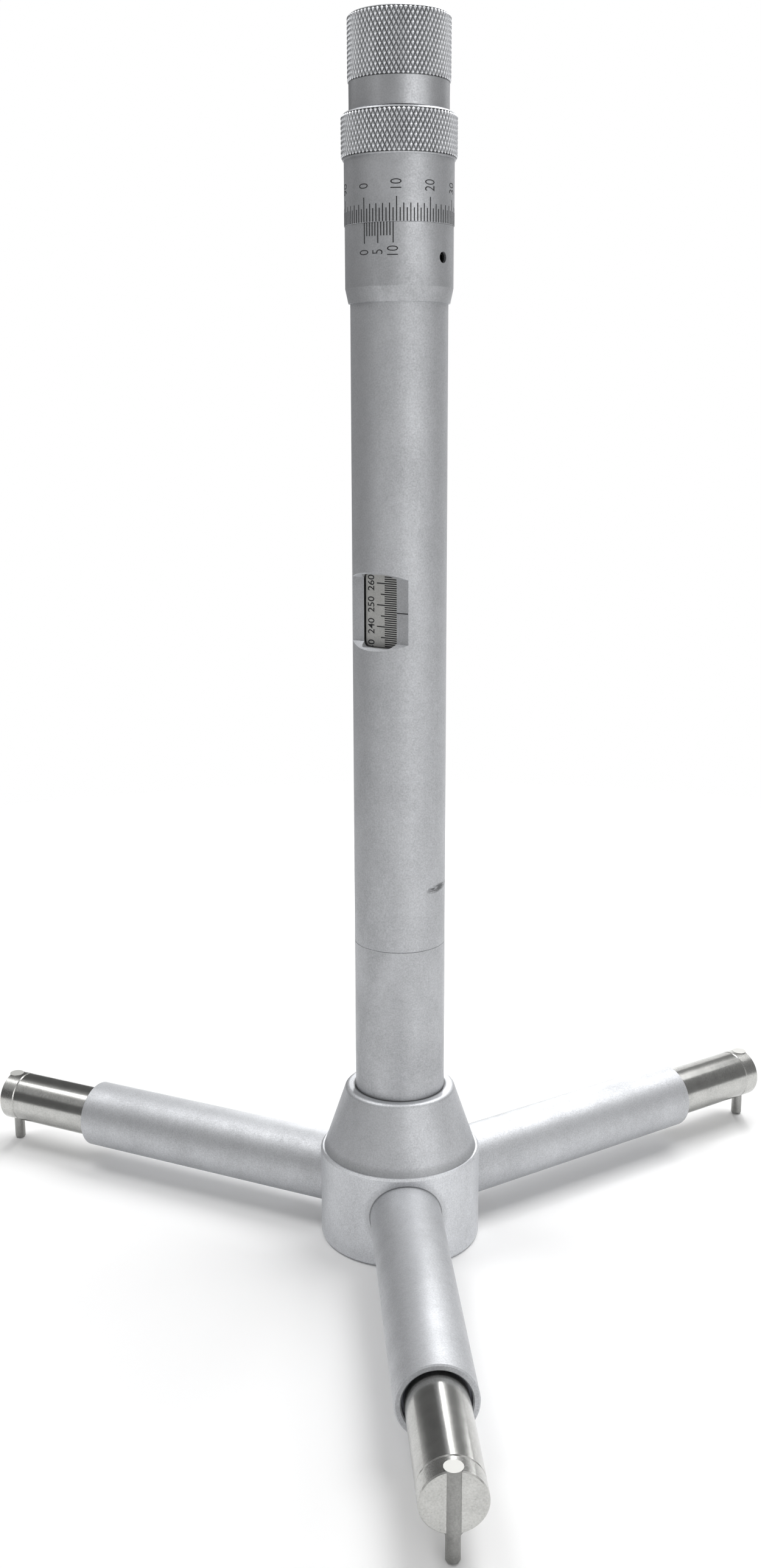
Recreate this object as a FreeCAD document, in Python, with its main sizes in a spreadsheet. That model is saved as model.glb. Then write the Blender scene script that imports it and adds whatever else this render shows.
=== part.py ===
"""Three-point inside micrometer, 235 to 260 mm, shown at a reading of 247.00 mm.

The tube stands along +Z on its hub. Three measuring arms leave the hub at 120 degrees,
the front one along -Y. Turning the thimble moves a keyed rod down the tube. The rod ends
in a 45 degree measuring cone, which pushes the three plungers outwards, millimetre for
millimetre, and a spring in each arm holds its plunger against the cone. Millimetres.
"""
import FreeCAD, Part
import math
import os
import Sketcher

from FreeCAD import Placement, Rotation, Vector

DOC = FreeCAD.newDocument("InsideMicrometer")
SIZES = DOC.addObject("Spreadsheet::Sheet", "Sizes")

# Driving sizes, in millimetres and degrees. Heights are above the hub's lower face.
DRIVING = [
    ("bore_reading", 247.0, "diameter that the contact pins span as shown"),
    ("reading_low", 235.0, "lower end of the measuring range"),
    ("reading_high", 260.0, "upper end of the measuring range"),
    ("run_gap", 0.03, "radial clearance of a running fit"),
    ("slide_gap", 0.07, "radial clearance of the rod in the tube"),
    ("face_gap", 0.1, "axial clearance between turning faces"),
    ("free_gap", 0.3, "clearance between pieces that never touch"),
    ("cut_over", 1.0, "how far a cut runs past its piece"),
    ("hub_radius", 20.0, "outside of the hub body"),
    ("hub_height", 23.6, "height of the hub body"),
    ("hub_round", 1.0, "round at the hub's lower edge"),
    ("hub_chamfer", 0.5, "chamfer at the hub's upper edge"),
    ("cavity_radius", 14.6, "room for the measuring cone"),
    ("spigot_radius", 16.6, "spigot that centres the cone housing"),
    ("spigot_depth", 1.2, "how far the spigot reaches into the hub"),
    ("cover_radius", 18.0, "hub cover"),
    ("cover_thick", 1.6, "hub cover"),
    ("cover_screw_place", 16.3, "distance of the cover screws from the axis"),
    ("cover_screw_head", 1.6, "radius of a countersunk head"),
    ("cover_screw_shank", 0.8, "radius of a cover screw's thread"),
    ("cover_screw_reach", 5.0, "length of a cover screw"),
    ("arm_axis_height", 13.1, "arm axes above the hub's lower face"),
    ("housing_base_radius", 19.1, "cone housing at the hub"),
    ("housing_top_radius", 13.5, "cone housing at the tube"),
    ("housing_height", 16.5, "height of the cone housing"),
    ("housing_round", 1.2, "round at the top of the cone housing"),
    ("cavity_rise", 6.2, "ceiling of the cavity above the hub body"),
    ("tube_radius", 11.0, "outside of the tube"),
    ("tube_engage", 8.6, "how far the tube enters the cone housing"),
    ("lower_tube_bore", 8.2, "bore of the lower tube"),
    ("lower_tube_length", 46.7, "lower tube up to its shoulder"),
    ("seam_chamfer", 0.12, "broken edges at the joint of the two tubes"),
    ("joint_spigot_radius", 9.2, "threaded spigot of the tube joint"),
    ("joint_spigot_length", 9.0, "threaded spigot of the tube joint"),
    ("main_bore", 6.2, "bore of the main tube"),
    ("main_tube_length", 161.8, "length of the main tube"),
    ("bearing_bore_depth", 27.0, "depth of the bearing bore in the main tube"),
    ("bearing_radius", 9.2, "outside of the thimble bearing"),
    ("window_turn", -40.0, "direction of the scale window, from the front"),
    ("window_flat", 7.65, "window flat from the tube axis"),
    ("window_drop", 80.4, "index line below the top of the main tube"),
    ("window_flat_height", 14.8, "height of the milled flat at its floor"),
    ("window_flare", 25.5, "slope of the flat's two end walls"),
    ("window_slot_half", 4.65, "half width of the slot in the flat"),
    ("window_slot_height", 16.9, "height of the slot in the flat"),
    ("window_slot_round", 1.5, "corner round of the slot"),
    ("bar_half_width", 4.45, "half width of the scale bar"),
    ("bar_face", 7.15, "face of the scale bar from the tube axis"),
    ("bar_seat", 3.4, "seat of the scale bar on its rod"),
    ("bar_below", 16.6, "how far the scale bar reaches below the index line"),
    ("bar_length", 33.0, "length of the scale bar"),
    ("bar_screw_radius", 1.0, "thread of the scale bar's screws"),
    ("bar_screw_head", 1.8, "head of the scale bar's screws"),
    ("bar_screw_inset", 4.0, "screws from the ends of the scale bar"),
    ("keyway_spare", 4.0, "keyway beyond the scale bar at the lowest reading"),
    ("rod_tail", 7.0, "scale rod below its bar"),
    ("rod_spare", 2.0, "room above the scale rod at the lowest reading"),
    ("rod_bore_spare", 1.1, "room below the lead screw at the lowest reading"),
    ("nut_radius", 5.0, "outside of the bronze nut"),
    ("nut_length", 12.0, "length of the bronze nut"),
    ("screw_radius", 3.0, "lead screw over its thread"),
    ("screw_tail", 0.9, "lead screw beyond the nut at the highest reading"),
    ("collar_rise", 3.0, "thrust collar above the floor of the bearing bore"),
    ("collar_thick", 3.0, "thrust collar"),
    ("collar_radius", 7.5, "thrust collar"),
    ("journal_radius", 5.0, "journal of the lead screw"),
    ("bearing_flange_radius", 10.4, "flange of the thimble bearing"),
    ("bearing_flange_thick", 1.5, "flange of the thimble bearing"),
    ("bush_rise", 26.5, "rod bush above the lower end of the tube"),
    ("bush_length", 14.0, "length of the rod bush"),
    ("drawbar_radius", 3.0, "drawbar between scale rod and measuring cone"),
    ("drawbar_socket", 8.0, "how far the drawbar enters the scale rod"),
    ("vernier_radius", 12.1, "outside of the vernier sleeve"),
    ("vernier_over", 3.9, "how far the vernier sleeve rises past the main tube"),
    ("vernier_length", 16.3, "length of the vernier sleeve"),
    ("vernier_bevel", 3.2, "height of the sleeve's lower bevel"),
    ("vernier_bevel_in", 0.7, "how far the bevel draws in"),
    ("vernier_hole_radius", 1.2, "hole for the pin spanner"),
    ("vernier_hole_drop", 7.0, "spanner hole below the sleeve's upper end"),
    ("vernier_hole_turn", 47.7, "hole's direction, from the front"),
    ("lock_screw_thick", 0.45, "set screw at the bottom of the spanner hole"),
    ("lock_socket_radius", 0.6, "socket of that set screw"),
    ("lock_socket_depth", 0.3, "socket of that set screw"),
    ("thimble_radius", 12.2, "graduated part of the thimble"),
    ("drum_height", 13.8, "graduated part of the thimble"),
    ("grip_height", 9.6, "knurled collar of the thimble"),
    ("grip_radius", 12.9, "knurled collar of the thimble"),
    ("grip_chamfer", 0.8, "upper chamfer of the knurled collar"),
    ("grip_lower_chamfer", 0.4, "lower chamfer of the knurled collar"),
    ("web_rise", 1.3, "floor of the thimble's recess above the collar's lower end"),
    ("thimble_recess", 9.6, "radius of the recess in the thimble"),
    ("thimble_boss", 8.0, "boss under the thimble"),
    ("thimble_nut_radius", 7.0, "round nut that clamps the thimble"),
    ("thimble_nut_thick", 4.0, "round nut that clamps the thimble"),
    ("post_radius", 4.0, "upper post of the lead screw"),
    ("spring_room", 4.0, "height of the friction spring's room"),
    ("cap_height", 19.6, "height of the friction cap"),
    ("cap_neck_height", 5.6, "plain neck of the friction cap"),
    ("cap_skirt", 2.4, "web of the friction cap above its lower edge"),
    ("cap_neck_radius", 11.05, "plain neck of the friction cap"),
    ("cap_knurl_radius", 11.4, "knurled part of the friction cap"),
    ("cap_chamfer", 0.9, "chamfers of the friction cap"),
    ("cap_web_thick", 3.0, "web that turns on the post"),
    ("cap_bore", 8.6, "inside of the friction cap"),
    ("plug_radius", 9.4, "plug in the top of the friction cap"),
    ("plug_depth", 3.6, "seat of the plug below the cap's rim"),
    ("plug_sink", 0.5, "how far the plug lies below the cap's rim"),
    ("washer_radius", 7.6, "washer over the friction spring"),
    ("washer_thick", 1.2, "washer over the friction spring"),
    ("cap_screw_radius", 1.5, "screw that holds the washer"),
    ("cap_screw_head", 3.4, "head of that screw"),
    ("cap_screw_head_thick", 2.2, "head of that screw"),
    ("cap_screw_reach", 8.0, "length of that screw"),
    ("friction_wire", 0.5, "wire radius of the friction spring"),
    ("friction_coil", 6.0, "coil radius of the friction spring"),
    ("cone_tip_radius", 0.9, "blunt tip of the measuring cone"),
    ("cone_land", 0.35, "cone surface beyond the last contact"),
    ("cone_heel", 2.0, "cylinder behind the cone surface"),
    ("cone_neck", 5.0, "boss that takes the drawbar"),
    ("cone_neck_length", 3.0, "boss that takes the drawbar"),
    ("nose_radius", 2.0, "ball nose of a plunger"),
    ("nose_at_low", 2.7, "ball centre from the axis at the lowest reading"),
    ("nose_gap", 0.05, "gap between ball nose and measuring cone"),
    ("guide_inner", 17.0, "inner end of a plunger's guide"),
    ("guide_length", 18.0, "length of a plunger's guide"),
    ("nose_socket", 6.0, "how far a ball nose is pressed in"),
    ("sleeve_radius", 8.7, "outside of an arm sleeve"),
    ("sleeve_bore", 7.2, "bore of an arm sleeve"),
    ("sleeve_outer", 93.4, "outer end of an arm sleeve"),
    ("sleeve_chamfer", 0.3, "chamfers of an arm sleeve's outer end"),
    ("shaft_radius", 4.5, "shaft between guide and plunger"),
    ("stop_spare", 1.0, "room between spring stop and plunger at the lowest reading"),
    ("stop_length", 4.0, "length of a spring stop"),
    ("bushing_inset", 2.4, "plunger bush inside the mouth of its sleeve"),
    ("bushing_length", 12.0, "length of a plunger bush"),
    ("plunger_radius", 6.65, "plunger"),
    ("plunger_tail", 2.0, "plunger inside the inner end of its bush"),
    ("plunger_spigot", 3.0, "radius of the threaded spigots in a plunger"),
    ("plunger_spigot_length", 12.0, "length of the threaded spigots in a plunger"),
    ("head_length", 4.5, "length of an anvil head"),
    ("head_edge", 0.25, "broken edges at the anvil head"),
    ("head_setback", 0.6, "how far the anvil face lies inside the contact"),
    ("pin_radius", 1.9, "contact pin in the anvil head"),
    ("pin_tip_radius", 1.45, "free end of a contact pin"),
    ("pin_proud", 0.05, "top of a contact pin above its anvil head"),
    ("pin_floor", 0.3, "free end of a contact pin above the hub's lower face"),
    ("pin_round", 0.3, "round at the free end of a contact pin"),
    ("key_radius", 1.2, "guide screw's tip"),
    ("key_head_radius", 1.75, "guide screw's thread"),
    ("key_inset", 9.5, "guide screw outside the inner end of the guide"),
    ("key_slot_floor", 5.0, "floor of the guide slot below the arm axis"),
    ("return_wire", 0.4, "wire radius of a return spring"),
    ("return_coil", 5.8, "coil radius of a return spring"),
]

# Sizes that follow from the driving ones.
DERIVED = [
    ("contact_radius", "bore_reading / 2", "contact line of a pin from the axis"),
    ("travel_in", "(bore_reading - reading_low) / 2", "plunger travel inwards"),
    ("travel_out", "(reading_high - bore_reading) / 2", "plunger travel outwards"),
    ("nose_centre", "nose_at_low + travel_in", "ball centre from the axis"),
    ("cone_touch", "nose_radius * sqrt(0.5)", "contact point from the ball centre"),
    ("cone_touch_radius", "nose_centre - cone_touch", "cone radius at the contact"),
    ("cone_touch_height", "arm_axis_height + cone_touch", "height of the contact"),
    ("cone_top_radius", "cone_touch_radius + travel_out + cone_land", "widest cone"),
    ("cone_low", "cone_touch_height - cone_touch_radius + cone_tip_radius", "cone tip"),
    ("cone_top", "cone_touch_height + cone_top_radius - cone_touch_radius", "cone edge"),
    ("cone_back", "cone_top + cone_heel", "back of the measuring cone"),
    ("anvil_face", "contact_radius - head_setback", "outer face of an anvil head"),
    ("pin_centre", "contact_radius - pin_radius", "contact pin from the axis"),
    ("keyway_half_width", "bar_half_width + free_gap / 3", "keyway in the main tube"),
    ("keyway_face", "bar_face + free_gap / 3", "keyway floor from the axis"),
    ("rod_radius", "main_bore - slide_gap", "scale rod"),
    ("guide_radius", "sleeve_bore - run_gap", "guide of a plunger"),
    ("bushing_bore", "plunger_radius + run_gap", "bore of a plunger bush"),
    ("housing_top", "hub_height + housing_height", "top of the cone housing"),
    ("cavity_top", "hub_height + cavity_rise", "ceiling above the measuring cone"),
    ("tube_seat", "housing_top - tube_engage", "lower end of the tube"),
    ("seam_height", "tube_seat + lower_tube_length", "joint of the two tubes"),
    ("main_tube_top", "seam_height + main_tube_length", "top of the main tube"),
    ("bearing_bore_start", "main_tube_top - bearing_bore_depth", "floor of the bearing bore"),
    ("bush_low", "tube_seat + bush_rise", "lower end of the rod bush"),
    ("bush_top", "bush_low + bush_length", "upper end of the rod bush"),
    ("window_index", "main_tube_top - window_drop", "height of the index line"),
    ("bar_low", "window_index - bar_below", "lower end of the scale bar"),
    ("bar_high", "bar_low + bar_length", "upper end of the scale bar"),
    ("keyway_top", "bar_high + travel_in + keyway_spare", "upper end of the keyway"),
    ("rod_low", "bar_low - rod_tail", "lower end of the scale rod"),
    ("rod_high", "bearing_bore_start - travel_in - rod_spare", "upper end of the scale rod"),
    ("nut_low", "rod_high - nut_length", "lower end of the bronze nut"),
    ("screw_low", "nut_low - travel_out - screw_tail", "lower end of the lead screw"),
    ("rod_bore_floor", "screw_low - travel_in - rod_bore_spare", "floor of the rod's bore"),
    ("collar_low", "bearing_bore_start + collar_rise", "lower face of the thrust collar"),
    ("collar_top", "collar_low + collar_thick", "upper face of the thrust collar"),
    ("flange_top", "main_tube_top + bearing_flange_thick", "top of the bearing"),
    ("vernier_high", "main_tube_top + vernier_over", "upper end of the vernier sleeve"),
    ("vernier_low", "vernier_high - vernier_length", "lower end of the vernier sleeve"),
    ("vernier_hole_height", "vernier_high - vernier_hole_drop", "middle of the spanner hole"),
    ("thimble_low", "vernier_high + face_gap / 2", "lower edge of the thimble"),
    ("grip_low", "vernier_high + drum_height", "lower end of the knurled collar"),
    ("grip_high", "grip_low + grip_height", "upper end of the knurled collar"),
    ("thimble_web_top", "grip_low + web_rise", "floor of the recess in the thimble"),
    ("cap_low", "grip_high + free_gap", "lower edge of the friction cap"),
    ("cap_high", "cap_low + cap_height", "top of the friction cap"),
    ("cap_knurl_low", "cap_low + cap_neck_height", "lower end of the cap's knurl"),
    ("cap_web_low", "cap_low + cap_skirt", "lower face of the cap's web"),
    ("cap_web_top", "cap_web_low + cap_web_thick", "upper face of the cap's web"),
    ("post_top", "cap_web_top + spring_room", "end of the upper post"),
    ("washer_top", "post_top + washer_thick", "upper face of the washer"),
    ("plug_low", "cap_high - plug_depth", "seat of the plug"),
    ("sleeve_inner", "cavity_radius + free_gap", "inner end of an arm sleeve"),
    ("bushing_outer", "sleeve_outer - bushing_inset", "outer end of a plunger bush"),
    ("bushing_inner", "bushing_outer - bushing_length", "inner end of a plunger bush"),
    ("plunger_inner", "bushing_inner - plunger_tail", "inner end of a plunger"),
    ("stop_outer", "plunger_inner - travel_in - stop_spare", "outer end of a spring stop"),
    ("stop_inner", "stop_outer - stop_length", "inner end of a spring stop"),
    ("guide_outer", "guide_inner + guide_length", "outer end of a plunger's guide"),
    ("key_place", "guide_inner + key_inset", "guide screw from the axis"),
    ("head_inner", "anvil_face - head_length", "where the anvil head meets the plunger"),
]


def fill_sheet():
    """Writes every size and its meaning into the spreadsheet."""
    row = 1
    for name, value, meaning in DRIVING:
        SIZES.set("A%d" % row, meaning)
        SIZES.set("B%d" % row, repr(value))
        SIZES.setAlias("B%d" % row, name)
        row += 1
    for name, formula, meaning in DERIVED:
        SIZES.set("A%d" % row, meaning)
        SIZES.set("B%d" % row, "=" + formula)
        SIZES.setAlias("B%d" % row, name)
        row += 1
    DOC.recompute()


fill_sheet()
NAMES = [entry[0] for entry in DRIVING + DERIVED]
NODES = []

# Turns of the springs, and how finely their wire is drawn.
RETURN_TURNS = 9
FRICTION_TURNS = 3
CHORDS_PER_TURN = 10
WIRE_SIDES = 6


def size(name):
    """Value of a size, in millimetres or degrees."""
    return float(SIZES.get(name))


def bound(formula):
    """Formula of sizes, written with their place in the sheet."""
    words = []
    word = ""
    for letter in formula + " ":
        if letter.isalnum() or letter == "_":
            word += letter
            continue
        words.append("Sizes." + word if word in NAMES else word)
        words.append(letter)
        word = ""
    return "".join(words).strip()


def value_of(formula):
    """Value of a formula of sizes."""
    return float(SIZES.evalExpression(bound(formula)))


def set_sizes(thing, **formulas):
    """Binds properties of an object to formulas of sizes."""
    for name, formula in formulas.items():
        thing.setExpression(name, bound(formula))


def new_body(label):
    """Empty body with its own label."""
    body = DOC.addObject("PartDesign::Body", label.title().replace("_", ""))
    body.Label = label
    return body


def plane_of(body, role):
    """Origin plane of a body, such as XZ_Plane."""
    return next(item for item in body.Origin.OriginFeatures if item.Role == role)


def new_sketch(body, role, name, offset=None):
    """Sketch on an origin plane, moved along its normal by a formula of sizes."""
    sketch = body.newObject("Sketcher::SketchObject", name)
    sketch.AttachmentSupport = [(plane_of(body, role), "")]
    sketch.MapMode = "FlatFace"
    if offset is not None:
        sketch.setExpression("AttachmentOffset.Base.z", bound(offset))
    return sketch


def tie(sketch, kind, target, formula):
    """Distance constraint bound to a formula, positive or negative."""
    value = value_of(formula)
    index = sketch.addConstraint(Sketcher.Constraint(kind, -1, 1, target[0], target[1], value))
    sketch.setExpression("Constraints[%d]" % index, bound(formula))


def outline(sketch, corners):
    """Closed polygon whose corners are pairs of formulas, across and up."""
    places = [Vector(value_of(across), value_of(up), 0) for across, up in corners]
    count = len(places)
    for step in range(count):
        sketch.addGeometry(Part.LineSegment(places[step], places[(step + 1) % count]), False)
    for step in range(count):
        after = (step + 1) % count
        sketch.addConstraint(Sketcher.Constraint("Coincident", step, 2, after, 1))
    for step, (across, up) in enumerate(corners):
        if across == "0":
            sketch.addConstraint(Sketcher.Constraint("PointOnObject", step, 1, -2))
        else:
            tie(sketch, "DistanceX", (step, 1), across)
        if up == "0":
            sketch.addConstraint(Sketcher.Constraint("PointOnObject", step, 1, -1))
        else:
            tie(sketch, "DistanceY", (step, 1), up)


def disc(sketch, radius, across="0", up="0"):
    """Circle with its radius and centre bound to formulas."""
    centre = Vector(value_of(across), value_of(up), 0)
    ring = sketch.addGeometry(Part.Circle(centre, Vector(0, 0, 1), value_of(radius)), False)
    index = sketch.addConstraint(Sketcher.Constraint("Radius", ring, value_of(radius)))
    sketch.setExpression("Constraints[%d]" % index, bound(radius))
    if across == "0":
        sketch.addConstraint(Sketcher.Constraint("PointOnObject", ring, 3, -2))
    else:
        tie(sketch, "DistanceX", (ring, 3), across)
    if up == "0":
        sketch.addConstraint(Sketcher.Constraint("PointOnObject", ring, 3, -1))
    else:
        tie(sketch, "DistanceY", (ring, 3), up)


def revolve(body, corners, name="Turned"):
    """Turned solid: the outline's corners are radius and height."""
    sketch = new_sketch(body, "XZ_Plane", name + "Profile")
    outline(sketch, corners)
    turned = body.newObject("PartDesign::Revolution", name)
    turned.Profile = sketch
    turned.ReferenceAxis = (sketch, ["V_Axis"])
    turned.Angle = 360
    return turned


def turned_piece(label, corners):
    """Body that is one turned solid."""
    body = new_body(label)
    revolve(body, corners)
    return body


def pocket(body, sketch, length, name, both=False, reverse=False):
    """Cut of a given length, away from the sketch or to both sides of it."""
    cut = body.newObject("PartDesign::Pocket", name)
    cut.Profile = sketch
    cut.Midplane = both
    cut.Reversed = reverse
    set_sizes(cut, Length=length)
    return cut


def edges_at(shape, radius, height, reach=0.02):
    """Names of the round edges at a radius and height of a turned shape."""
    found = []
    for number, edge in enumerate(shape.Edges):
        curve = edge.Curve
        if not isinstance(curve, Part.Circle):
            continue
        if abs(curve.Radius - radius) < reach and abs(curve.Center.z - height) < reach:
            if abs(curve.Center.x) < reach and abs(curve.Center.y) < reach:
                found.append("Edge%d" % (number + 1))
    return found


def dress(body, kind, places, amount, name):
    """Fillet or chamfer on the round edges at pairs of radius and height."""
    DOC.recompute()
    base = body.Tip
    found = []
    for radius, height in places:
        found += edges_at(base.Shape, value_of(radius), value_of(height))
    dressed = body.newObject("PartDesign::" + kind, name)
    dressed.Base = (base, found)
    set_sizes(dressed, **{"Radius" if kind == "Fillet" else "Size": amount})
    return dressed


def keep(piece):
    """Adds a finished sub-part to those that are written out."""
    NODES.append(piece)
    return piece


# Housing: hub, cone housing, tubes, window and vernier sleeve.

ARMS = {"front": -90.0, "right": 30.0, "left": 150.0}


def hub_body():
    """Cup with three radial bores for the arm sleeves."""
    body = new_body("hub_body")
    revolve(body, [
        ("cover_radius", "0"), ("hub_radius", "0"), ("hub_radius", "hub_height"),
        ("spigot_radius", "hub_height"), ("spigot_radius", "hub_height - spigot_depth"),
        ("cavity_radius", "hub_height - spigot_depth"), ("cavity_radius", "cover_thick"),
        ("cover_radius", "cover_thick")])
    dress(body, "Fillet", [("hub_radius", "0")], "hub_round", "LowerRound")
    dress(body, "Chamfer", [("hub_radius", "hub_height")], "hub_chamfer", "UpperChamfer")
    side = new_sketch(body, "XZ_Plane", "ArmBoreCircle")
    disc(side, "sleeve_radius", "0", "arm_axis_height")
    bore = pocket(body, side, "hub_radius + free_gap", "ArmBore", reverse=True)
    holes = new_sketch(body, "XY_Plane", "ScrewHoleCircle", "cover_thick")
    disc(holes, "cover_screw_shank", "0", "cover_screw_place")
    hole = pocket(body, holes, "cover_screw_reach - cover_thick", "ScrewHole", reverse=True)
    pattern = body.newObject("PartDesign::PolarPattern", "Thirds")
    pattern.Originals = [bore, hole]
    pattern.Axis = (next(a for a in body.Origin.OriginFeatures if a.Role == "Z_Axis"), [""])
    pattern.Angle = 360
    pattern.Occurrences = len(ARMS)
    body.Tip = pattern
    return body


def hub_cover():
    """Round plate that closes the hub, with three countersunk holes."""
    body = new_body("hub_cover")
    revolve(body, [("0", "0"), ("cover_radius", "0"), ("cover_radius", "cover_thick"),
                   ("0", "cover_thick")])
    holes = new_sketch(body, "XY_Plane", "ScrewHoleCircle")
    disc(holes, "cover_screw_shank", "0", "cover_screw_place")
    hole = pocket(body, holes, "cover_thick", "ScrewHole", reverse=True)
    sink = new_sketch(body, "YZ_Plane", "CountersinkProfile")
    outline(sink, [
        ("cover_screw_place", "0"), ("cover_screw_place + cover_screw_head", "0"),
        ("cover_screw_place", "cover_screw_head")])
    cone = body.newObject("PartDesign::Groove", "Countersink")
    cone.Profile = sink
    cone.ReferenceAxis = (sink, ["Edge3"])
    cone.Angle = 360
    DOC.recompute()
    pattern = body.newObject("PartDesign::PolarPattern", "Thirds")
    pattern.Originals = [hole, cone]
    pattern.Axis = (next(a for a in body.Origin.OriginFeatures if a.Role == "Z_Axis"), [""])
    pattern.Angle = 360
    pattern.Occurrences = len(ARMS)
    body.Tip = pattern
    return body


def cover_screw(number):
    """Countersunk screw of the hub cover."""
    body = new_body("cover_screw_%d" % number)
    revolve(body, [
        ("0", "0"), ("cover_screw_head", "0"),
        ("cover_screw_shank", "cover_screw_head - cover_screw_shank"),
        ("cover_screw_shank", "cover_screw_reach"), ("0", "cover_screw_reach")])
    turn = math.radians(ARMS["front"] + 180 + 360 / len(ARMS) * number)
    place = "cover_screw_place * %.9f"
    set_sizes(body, **{
        "Placement.Base.x": place % math.cos(turn), "Placement.Base.y": place % math.sin(turn)})
    return body


def hub_cone():
    """Cone housing: centres on the hub and carries the lower tube."""
    body = new_body("hub_cone")
    revolve(body, [
        ("cavity_radius", "hub_height - spigot_depth"),
        ("spigot_radius", "hub_height - spigot_depth"), ("spigot_radius", "hub_height"),
        ("housing_base_radius", "hub_height"), ("housing_top_radius", "housing_top"),
        ("tube_radius", "housing_top"), ("tube_radius", "tube_seat"),
        ("lower_tube_bore", "tube_seat"), ("lower_tube_bore", "cavity_top"),
        ("cavity_radius", "cavity_top")])
    dress(body, "Fillet", [("housing_top_radius", "housing_top")], "housing_round", "TopRound")
    return body


def tube_lower():
    """Lower tube, with the threaded spigot for the main tube."""
    body = turned_piece("tube_lower", [
        ("lower_tube_bore", "tube_seat"), ("tube_radius", "tube_seat"),
        ("tube_radius", "seam_height"), ("joint_spigot_radius", "seam_height"),
        ("joint_spigot_radius", "seam_height + joint_spigot_length"),
        ("lower_tube_bore", "seam_height + joint_spigot_length")])
    dress(body, "Chamfer", [("tube_radius", "seam_height")], "seam_chamfer", "SeamChamfer")
    return body


def tube_main():
    """Main tube with its scale window, made with the window towards -Y and then turned."""
    body = new_body("tube_main")
    revolve(body, [
        ("joint_spigot_radius", "seam_height"), ("tube_radius", "seam_height"),
        ("tube_radius", "main_tube_top"), ("bearing_radius", "main_tube_top"),
        ("bearing_radius", "bearing_bore_start"), ("main_bore", "bearing_bore_start"),
        ("main_bore", "seam_height + joint_spigot_length"),
        ("joint_spigot_radius", "seam_height + joint_spigot_length")])
    dress(body, "Chamfer", [("tube_radius", "seam_height")], "seam_chamfer", "SeamChamfer")
    keyway = new_sketch(body, "XY_Plane", "KeywayOutline", "seam_height")
    outline(keyway, [
        ("-keyway_half_width", "0"), ("keyway_half_width", "0"),
        ("keyway_half_width", "-keyway_face"), ("-keyway_half_width", "-keyway_face")])
    pocket(body, keyway, "keyway_top - seam_height", "Keyway", reverse=True)
    flat = new_sketch(body, "YZ_Plane", "FlatOutline")
    spread = "(tube_radius + cut_over - window_flat) * tan(window_flare * 1deg)"
    half = "window_flat_height / 2"
    outline(flat, [
        ("-window_flat", "window_index - %s" % half),
        ("-tube_radius - cut_over", "window_index - %s - %s" % (half, spread)),
        ("-tube_radius - cut_over", "window_index + %s + %s" % (half, spread)),
        ("-window_flat", "window_index + %s" % half)])
    pocket(body, flat, "2 * tube_radius + cut_over", "WindowFlat", both=True)
    slot = new_sketch(body, "XZ_Plane", "SlotOutline", "tube_radius + cut_over")
    rounded_slot(slot)
    pocket(body, slot, "tube_radius + cut_over - main_bore / 2", "WindowSlot")
    set_sizes(body, **{"Placement.Rotation.Angle": "window_turn"})
    return body


def rounded_slot(sketch):
    """Window slot: an upright rectangle whose corners are quarter circles."""
    half = value_of("window_slot_half")
    low = value_of("window_index - window_slot_height / 2")
    high = value_of("window_index + window_slot_height / 2")
    bend = value_of("window_slot_round")
    corners = [(half, low, -90), (half, high, 0), (-half, high, 90), (-half, low, 180)]
    for across, up, start in corners:
        centre = Vector(across - math.copysign(bend, across),
                        up + (bend if up == low else -bend), 0)
        ring = Part.Circle(centre, Vector(0, 0, 1), bend)
        arc = Part.ArcOfCircle(ring, math.radians(start), math.radians(start + 90))
        sketch.addGeometry(arc, False)
    joins = [
        (Vector(half, low + bend, 0), Vector(half, high - bend, 0)),
        (Vector(half - bend, high, 0), Vector(bend - half, high, 0)),
        (Vector(-half, high - bend, 0), Vector(-half, low + bend, 0)),
        (Vector(bend - half, low, 0), Vector(half - bend, low, 0))]
    for begin, end in joins:
        sketch.addGeometry(Part.LineSegment(begin, end), False)
    for number in range(4):
        line = number + 4
        sketch.addConstraint(Sketcher.Constraint("Tangent", number, 2, line, 1))
        sketch.addConstraint(Sketcher.Constraint("Tangent", line, 2, (number + 1) % 4, 1))
    sketch.addConstraint(Sketcher.Constraint("Vertical", 4))
    sketch.addConstraint(Sketcher.Constraint("Horizontal", 5))
    for number in range(3):
        sketch.addConstraint(Sketcher.Constraint("Equal", number, number + 1))
    index = sketch.addConstraint(Sketcher.Constraint("Radius", 0, bend))
    sketch.setExpression("Constraints[%d]" % index, bound("window_slot_round"))
    tie(sketch, "DistanceX", (4, 1), "window_slot_half")
    tie(sketch, "DistanceX", (6, 1), "-window_slot_half")
    tie(sketch, "DistanceY", (5, 1), "window_index + window_slot_height / 2")
    tie(sketch, "DistanceY", (7, 1), "window_index - window_slot_height / 2")


def vernier_sleeve():
    """Sleeve with the vernier, turned by a pin spanner to set zero."""
    body = new_body("vernier_sleeve")
    revolve(body, [
        ("tube_radius", "vernier_low"), ("vernier_radius - vernier_bevel_in", "vernier_low"),
        ("vernier_radius", "vernier_low + vernier_bevel"), ("vernier_radius", "vernier_high"),
        ("tube_radius", "vernier_high")])
    hole = new_sketch(body, "XZ_Plane", "SpannerHoleCircle")
    disc(hole, "vernier_hole_radius", "0", "vernier_hole_height")
    pocket(body, hole, "vernier_radius + free_gap", "SpannerHole", reverse=True)
    set_sizes(body, **{"Placement.Rotation.Angle": "vernier_hole_turn"})
    return body


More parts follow.
